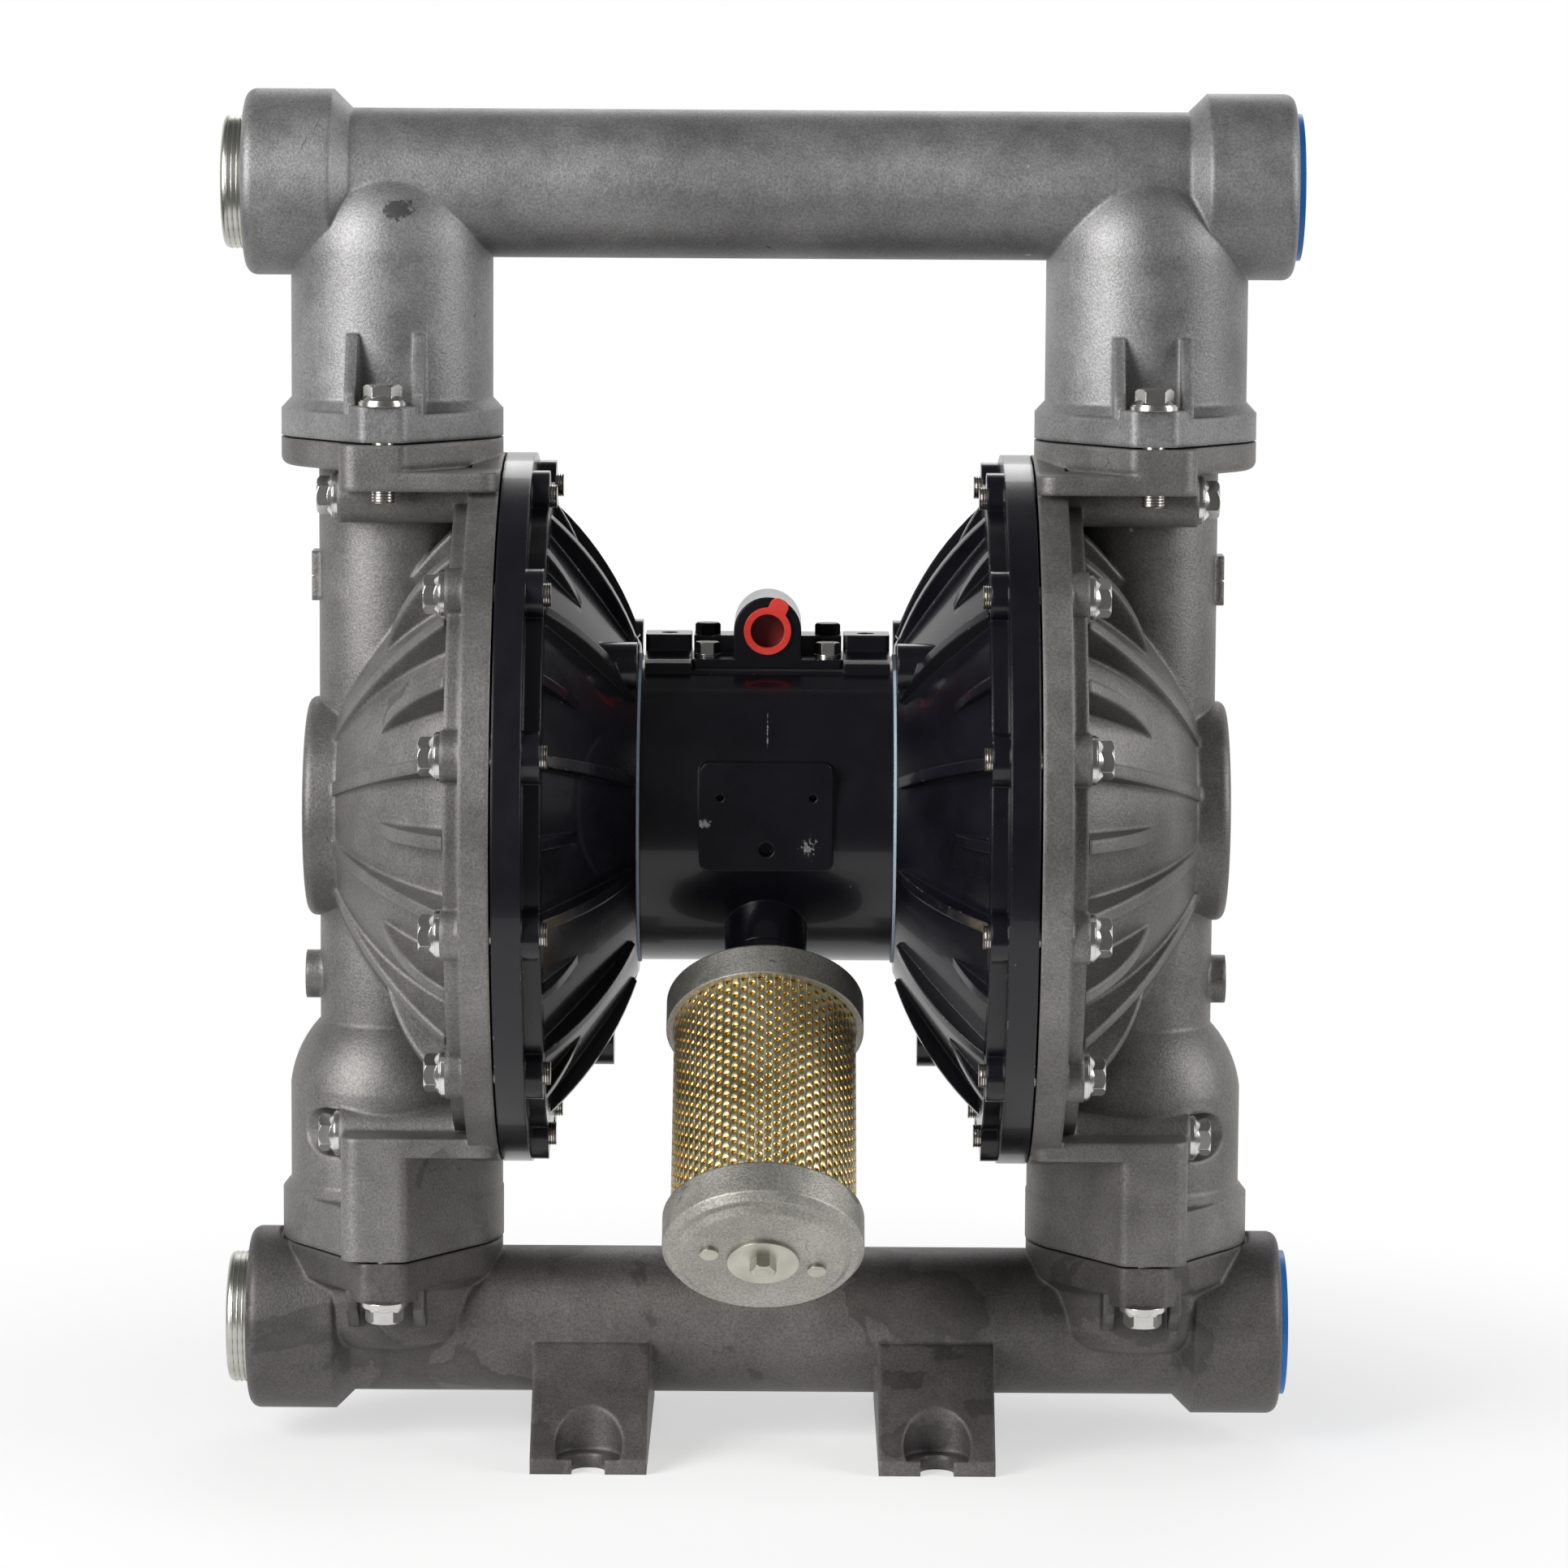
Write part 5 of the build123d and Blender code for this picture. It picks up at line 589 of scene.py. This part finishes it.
punching = bpy.data.node_groups.new("punched_and_rolled_sheet", "GeometryNodeTree")
for label, kind in (("Sheet", "NodeSocketGeometry"), ("Columns", "NodeSocketInt"),
                    ("Rows", "NodeSocketInt"), ("Column Pitch", "NodeSocketFloat"),
                    ("Row Pitch", "NodeSocketFloat"), ("Radius", "NodeSocketFloat"),
                    ("Start", "NodeSocketFloat"), ("Finish", "NodeSocketMaterial")):
    punching.interface.new_socket(label, in_out="INPUT", socket_type=kind)
punching.interface.new_socket("Sheet", in_out="OUTPUT", socket_type="NodeSocketGeometry")
given = add(punching, "NodeGroupInput").outputs
x_span = add(punching, "ShaderNodeMath",
             {0: add(punching, "ShaderNodeMath", {0: given["Columns"], 1: 1.0},
                     operation="SUBTRACT").outputs[0], 1: given["Column Pitch"]},
             operation="MULTIPLY").outputs[0]
y_span = add(punching, "ShaderNodeMath",
             {0: add(punching, "ShaderNodeMath", {0: given["Rows"], 1: 1.0},
                     operation="SUBTRACT").outputs[0], 1: given["Row Pitch"]},
             operation="MULTIPLY").outputs[0]
layout = add(punching, "GeometryNodeMeshGrid",
             {"Size X": x_span, "Size Y": y_span, "Vertices X": given["Columns"],
              "Vertices Y": given["Rows"]}).outputs["Mesh"]
column = add(punching, "ShaderNodeMath",
             {0: add(punching, "GeometryNodeInputIndex").outputs[0], 1: given["Rows"]},
             operation="DIVIDE").outputs[0]
column = add(punching, "ShaderNodeMath", {0: column}, operation="FLOOR").outputs[0]
odd = add(punching, "ShaderNodeMath", {0: column, 1: 2.0}, operation="MODULO").outputs[0]
half_step = add(punching, "ShaderNodeMath", {0: given["Row Pitch"], 1: 0.5},
                operation="MULTIPLY").outputs[0]
shift = add(punching, "ShaderNodeMath", {0: odd, 1: half_step}, operation="MULTIPLY").outputs[0]
shift = add(punching, "ShaderNodeCombineXYZ", {"Y": shift}).outputs[0]
layout = add(punching, "GeometryNodeSetPosition",
             {"Geometry": layout, "Offset": shift}).outputs[0]
sheet = add(punching, "GeometryNodeInstanceOnPoints",
            {"Points": layout, "Instance": given["Sheet"]}).outputs[0]
sheet = add(punching, "GeometryNodeRealizeInstances", {0: sheet}).outputs[0]
flat = add(punching, "ShaderNodeSeparateXYZ",
           {0: add(punching, "GeometryNodeInputPosition").outputs[0]}).outputs
angle = add(punching, "ShaderNodeMath", {0: flat[0], 1: given["Radius"]},
            operation="DIVIDE").outputs[0]
reach = add(punching, "ShaderNodeMath", {0: given["Radius"], 1: flat[2]},
            operation="ADD").outputs[0]
round_x = add(punching, "ShaderNodeMath",
              {0: reach, 1: add(punching, "ShaderNodeMath", {0: angle},
                                operation="COSINE").outputs[0]},
              operation="MULTIPLY").outputs[0]
round_y = add(punching, "ShaderNodeMath",
              {0: reach, 1: add(punching, "ShaderNodeMath", {0: angle},
                                operation="SINE").outputs[0]},
              operation="MULTIPLY").outputs[0]
half_length = add(punching, "ShaderNodeMath",
                  {0: y_span, 1: given["Row Pitch"]}, operation="ADD").outputs[0]
half_length = add(punching, "ShaderNodeMath", {0: half_length, 1: 0.5},
                  operation="MULTIPLY").outputs[0]
height = add(punching, "ShaderNodeMath", {0: flat[1], 1: half_length},
             operation="ADD").outputs[0]
height = add(punching, "ShaderNodeMath", {0: height, 1: given["Start"]},
             operation="ADD").outputs[0]
sheet = add(punching, "GeometryNodeSetPosition",
            {"Geometry": sheet,
             "Position": add(punching, "ShaderNodeCombineXYZ",
                             {"X": round_x, "Y": round_y, "Z": height}).outputs[0]}).outputs[0]
sheet = add(punching, "GeometryNodeMergeByDistance",
            {"Geometry": sheet, "Distance": 0.02 * MM}).outputs[0]
sheet = add(punching, "GeometryNodeSetMaterial",
            {"Geometry": sheet, "Material": given["Finish"]}).outputs[0]
add(punching, "NodeGroupOutput", {0: sheet})


def brass_coloured_sheet():
    """Thin steel sheet with a bright brass-coloured coat: pale lands that
    mirror the light and warm gold in the punched dimples."""
    material, tree, shader = new_material("brass_coloured_perforated_sheet")
    place = add(tree, "ShaderNodeTexCoord").outputs["Object"]
    broad = add(tree, "ShaderNodeTexNoise",
                {"Vector": place, "Scale": 1 / (20 * MM), "Detail": 4.0}).outputs["Fac"]
    tone = add(tree, "ShaderNodeValToRGB", {0: broad},
               stops=[(0.3, paint("#e2cf98")), (0.7, paint("#efe2b8"))]).outputs[0]
    # The dimples, below the outer face of the sheet, are a deeper gold than the lands.
    from_axis = add(tree, "ShaderNodeVectorMath",
                    {0: place, 1: (0, 0, PUMP_AXIS_Z * MM)}, operation="SUBTRACT").outputs[0]
    from_axis = add(tree, "ShaderNodeVectorMath",
                    {0: from_axis, 1: (0, -math.sqrt(0.5), -math.sqrt(0.5))},
                    operation="CROSS_PRODUCT").outputs[0]
    from_axis = add(tree, "ShaderNodeVectorMath", {0: from_axis},
                    operation="LENGTH").outputs["Value"]
    pressed = add(tree, "ShaderNodeMapRange",
                  {"Value": from_axis, "From Min": SLEEVE_RADIUS - 0.05 * MM,
                   "From Max": SLEEVE_RADIUS - 0.2 * MM}).outputs[0]
    tone = add(tree, "ShaderNodeMix", {0: pressed, 6: tone, 7: paint("#e0b13c")},
               data_type="RGBA").outputs[2]
    fine = add(tree, "ShaderNodeTexNoise",
               {"Vector": place, "Scale": 1 / (0.8 * MM), "Detail": 2.0}).outputs["Fac"]
    tree.links.new(tone, shader.inputs["Base Color"])
    rough = add(tree, "ShaderNodeValToRGB", {0: broad},
                stops=[(0.3, grey(0.3)), (0.7, grey(0.38))]).outputs[0]
    tree.links.new(rough, shader.inputs["Roughness"])
    shader.inputs["Metallic"].default_value = 1.0
    relief = add(tree, "ShaderNodeBump", {"Strength": 0.08, "Distance": 0.05 * MM, "Height": fine})
    tree.links.new(relief.outputs[0], shader.inputs["Normal"])
    return material


sleeve_mesh = grown(punching, tile_mesh,
                    {"Columns": HOLE_COLUMNS, "Rows": HOLE_ROWS, "Column Pitch": COLUMN_PITCH,
                     "Row Pitch": ROW_PITCH, "Radius": SLEEVE_RADIUS, "Start": SLEEVE_START,
                     "Finish": brass_coloured_sheet()})

# The muffler's own axis runs from the pump's centre, forwards and down.
muffler_axis = Vector((0, -1, -1)).normalized()
muffler_side = Vector((1, 0, 0))
muffler_frame = Matrix.Translation((0, 0, PUMP_AXIS_Z * MM)) @ Matrix(
    (muffler_side, muffler_axis.cross(muffler_side), muffler_axis)).transposed().to_4x4()
sleeve_mesh.transform(muffler_frame)
sleeve = bpy.data.objects.new("perforated_sleeve", sleeve_mesh)
bpy.context.scene.collection.objects.link(sleeve)
punched = bmesh.new()
punched.from_mesh(sleeve_mesh)
bmesh.ops.recalc_face_normals(punched, faces=punched.faces)
axis_point = Vector((0, 0, PUMP_AXIS_Z * MM))
first_face = max(punched.faces, key=lambda f: f.calc_area())
outwards = first_face.calc_center_median() - axis_point
outwards -= muffler_axis * outwards.dot(muffler_axis)
if first_face.normal.dot(outwards) < 0:
    bmesh.ops.reverse_faces(punched, faces=punched.faces)
punched.to_mesh(sleeve_mesh)
punched.free()
# The lands are smooth and the dimples' edges are crisp.
for polygon in sleeve_mesh.polygons:
    from_axis = polygon.center - axis_point
    from_axis -= muffler_axis * from_axis.dot(muffler_axis)
    polygon.use_smooth = from_axis.length > SLEEVE_RADIUS - 0.08 * MM
wall = sleeve.modifiers.new("wall", "SOLIDIFY")
wall.thickness, wall.offset = SHEET_THICKNESS, -1.0
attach(sleeve, "pump_body")
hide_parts("muffler_sleeve")

# ---------------------------------------------------------------------------
# Studio. A pale round floor that runs out to the white backdrop, a large soft
# light high on each side and a weak one behind. The room in front is dim.
# ---------------------------------------------------------------------------
FLOOR_RADIUS, FLOOR_SIDES = 0.65, 60
lowest = cad_box[0].z
floor_turns = [math.tau * k / FLOOR_SIDES for k in range(FLOOR_SIDES)]
floor_rim = [(FLOOR_RADIUS * math.cos(turn), FLOOR_RADIUS * math.sin(turn), lowest)
             for turn in floor_turns]
floor_mesh = bpy.data.meshes.new("studio_floor")
floor_mesh.from_pydata(floor_rim, [], [tuple(range(FLOOR_SIDES))])
floor = bpy.data.objects.new("studio_floor", floor_mesh)
bpy.context.scene.collection.objects.link(floor)
floor_material, floor_tree, floor_shader = new_material("white_studio_floor")
floor_place = add(floor_tree, "ShaderNodeTexCoord").outputs["Object"]
floor_tone = add(floor_tree, "ShaderNodeTexNoise",
                 {"Vector": floor_place, "Scale": 3.0, "Detail": 3.0}).outputs["Fac"]
floor_tone = add(floor_tree, "ShaderNodeValToRGB", {0: floor_tone},
                 stops=[(0.3, paint("#f4f4f4")), (0.7, paint("#fafafa"))]).outputs[0]
floor_tree.links.new(floor_tone, floor_shader.inputs["Base Color"])
floor_shader.inputs["Roughness"].default_value = 0.9
# The floor goes over to plain white away from the feet, so it has no horizon.
away = add(floor_tree, "ShaderNodeVectorMath", {0: floor_place},
           operation="LENGTH").outputs["Value"]
away = add(floor_tree, "ShaderNodeMapRange",
           {"Value": away, "From Min": 0.2, "From Max": 0.62, "To Min": 0.55},
           interpolation_type="SMOOTHSTEP").outputs[0]
floor_rays = add(floor_tree, "ShaderNodeLightPath").outputs
shown = add(floor_tree, "ShaderNodeMath",
            {0: floor_rays["Is Camera Ray"], 1: floor_rays["Is Transmission Ray"]},
            operation="MAXIMUM").outputs[0]
shown = add(floor_tree, "ShaderNodeMath", {0: shown, 1: floor_rays["Is Glossy Ray"]},
            operation="MAXIMUM").outputs[0]
shown = add(floor_tree, "ShaderNodeMath", {0: shown, 1: away}, operation="MULTIPLY").outputs[0]
plain_white = add(floor_tree, "ShaderNodeEmission", {"Color": WHITE, "Strength": 1.0})
floor_look = add(floor_tree, "ShaderNodeMixShader",
                 {0: shown, 1: floor_shader.outputs[0], 2: plain_white.outputs[0]})
floor_tree.links.new(floor_look.outputs[0], floor_tree.nodes["Material Output"].inputs[0])
floor_mesh.materials.append(floor_material)

world = bpy.data.worlds.new("studio")
bpy.context.scene.world = world
world.use_nodes = True
sky = world.node_tree
sky.nodes.clear()
rays = add(sky, "ShaderNodeLightPath").outputs
heading = add(sky, "ShaderNodeSeparateXYZ",
              {0: add(sky, "ShaderNodeTexCoord").outputs["Generated"]}).outputs
# Shiny parts see the white backdrop behind the pump up to about 40 degrees,
# a dim ceiling, and a dim room in front.
behind = add(sky, "ShaderNodeMapRange",
             {"Value": heading[1], "From Min": 0.1, "From Max": 0.6}).outputs[0]
under_ceiling = add(sky, "ShaderNodeMapRange",
                    {"Value": heading[2], "From Min": 0.8, "From Max": 0.4}).outputs[0]
backdrop = add(sky, "ShaderNodeMath", {0: behind, 1: under_ceiling},
               operation="MULTIPLY").outputs[0]
backdrop = add(sky, "ShaderNodeMath", {0: backdrop, 1: 0.9, 2: 0.1},
               operation="MULTIPLY_ADD").outputs[0]
mirrored = add(sky, "ShaderNodeMath", {0: rays["Is Glossy Ray"], 1: backdrop},
               operation="MULTIPLY").outputs[0]
seen = add(sky, "ShaderNodeMath",
           {0: rays["Is Camera Ray"], 1: rays["Is Transmission Ray"]},
           operation="MAXIMUM").outputs[0]
seen = add(sky, "ShaderNodeMath", {0: seen, 1: mirrored}, operation="MAXIMUM").outputs[0]
dim = add(sky, "ShaderNodeMath", {0: rays["Is Diffuse Ray"], 1: 0.2},
          operation="MULTIPLY").outputs[0]
strength = add(sky, "ShaderNodeMath", {0: seen, 1: dim}, operation="MAXIMUM").outputs[0]
add(sky, "ShaderNodeOutputWorld",
    {0: add(sky, "ShaderNodeBackground",
            {"Color": WHITE, "Strength": strength}).outputs[0]})


def softbox(name, place, aim, width, height, power):
    """A rectangular soft light that faces a point."""
    lamp = bpy.data.lights.new(name, "AREA")
    lamp.shape, lamp.size, lamp.size_y, lamp.energy = "RECTANGLE", width, height, power
    holder = bpy.data.objects.new(name, lamp)
    holder.location = place
    holder.rotation_euler = (Vector(aim) - Vector(place)).to_track_quat("-Z", "Y").to_euler()
    bpy.context.scene.collection.objects.link(holder)


CENTRE = (0, 0, 0.3)
softbox("left_light", (-1.6, -1.45, 1.1), CENTRE, 1.4, 1.6, 68)
softbox("right_light", (2.1, -0.6, 1.05), CENTRE, 1.1, 1.5, 30)
softbox("back_light", (0.2, 2.0, 1.7), CENTRE, 1.4, 0.8, 10)

# ---------------------------------------------------------------------------
# Camera. A long lens a little above the pump's middle, looking down at it.
# ---------------------------------------------------------------------------
CAMERA_TARGET = (7.8, 0, 302.8)  # mm
CAMERA_DISTANCE = 2.7  # metres
FOCAL_PIXELS, FRAME_PIXELS, SENSOR_WIDTH = 7290, 1932, 36
pitch, roll = math.radians(6.6), math.radians(0.34)
backwards = Vector((0, -math.cos(pitch), math.sin(pitch)))
level_up = Vector((0, math.sin(pitch), math.cos(pitch)))
level_right = Vector((1, 0, 0))
camera_right = level_right * math.cos(roll) + level_up * math.sin(roll)
camera_up = level_up * math.cos(roll) - level_right * math.sin(roll)
camera_data = bpy.data.cameras.new("camera")
camera_data.sensor_width = SENSOR_WIDTH
camera_data.lens = FOCAL_PIXELS * SENSOR_WIDTH / FRAME_PIXELS
camera_data.clip_start, camera_data.clip_end = 0.1, 50
camera = bpy.data.objects.new("camera", camera_data)
camera.matrix_world = Matrix.Translation(
    Vector(CAMERA_TARGET) * MM + backwards * CAMERA_DISTANCE) @ Matrix(
    (camera_right, camera_up, backwards)).transposed().to_4x4()
bpy.context.scene.collection.objects.link(camera)
bpy.context.scene.camera = camera
bpy.context.scene.view_settings.view_transform = "Standard"
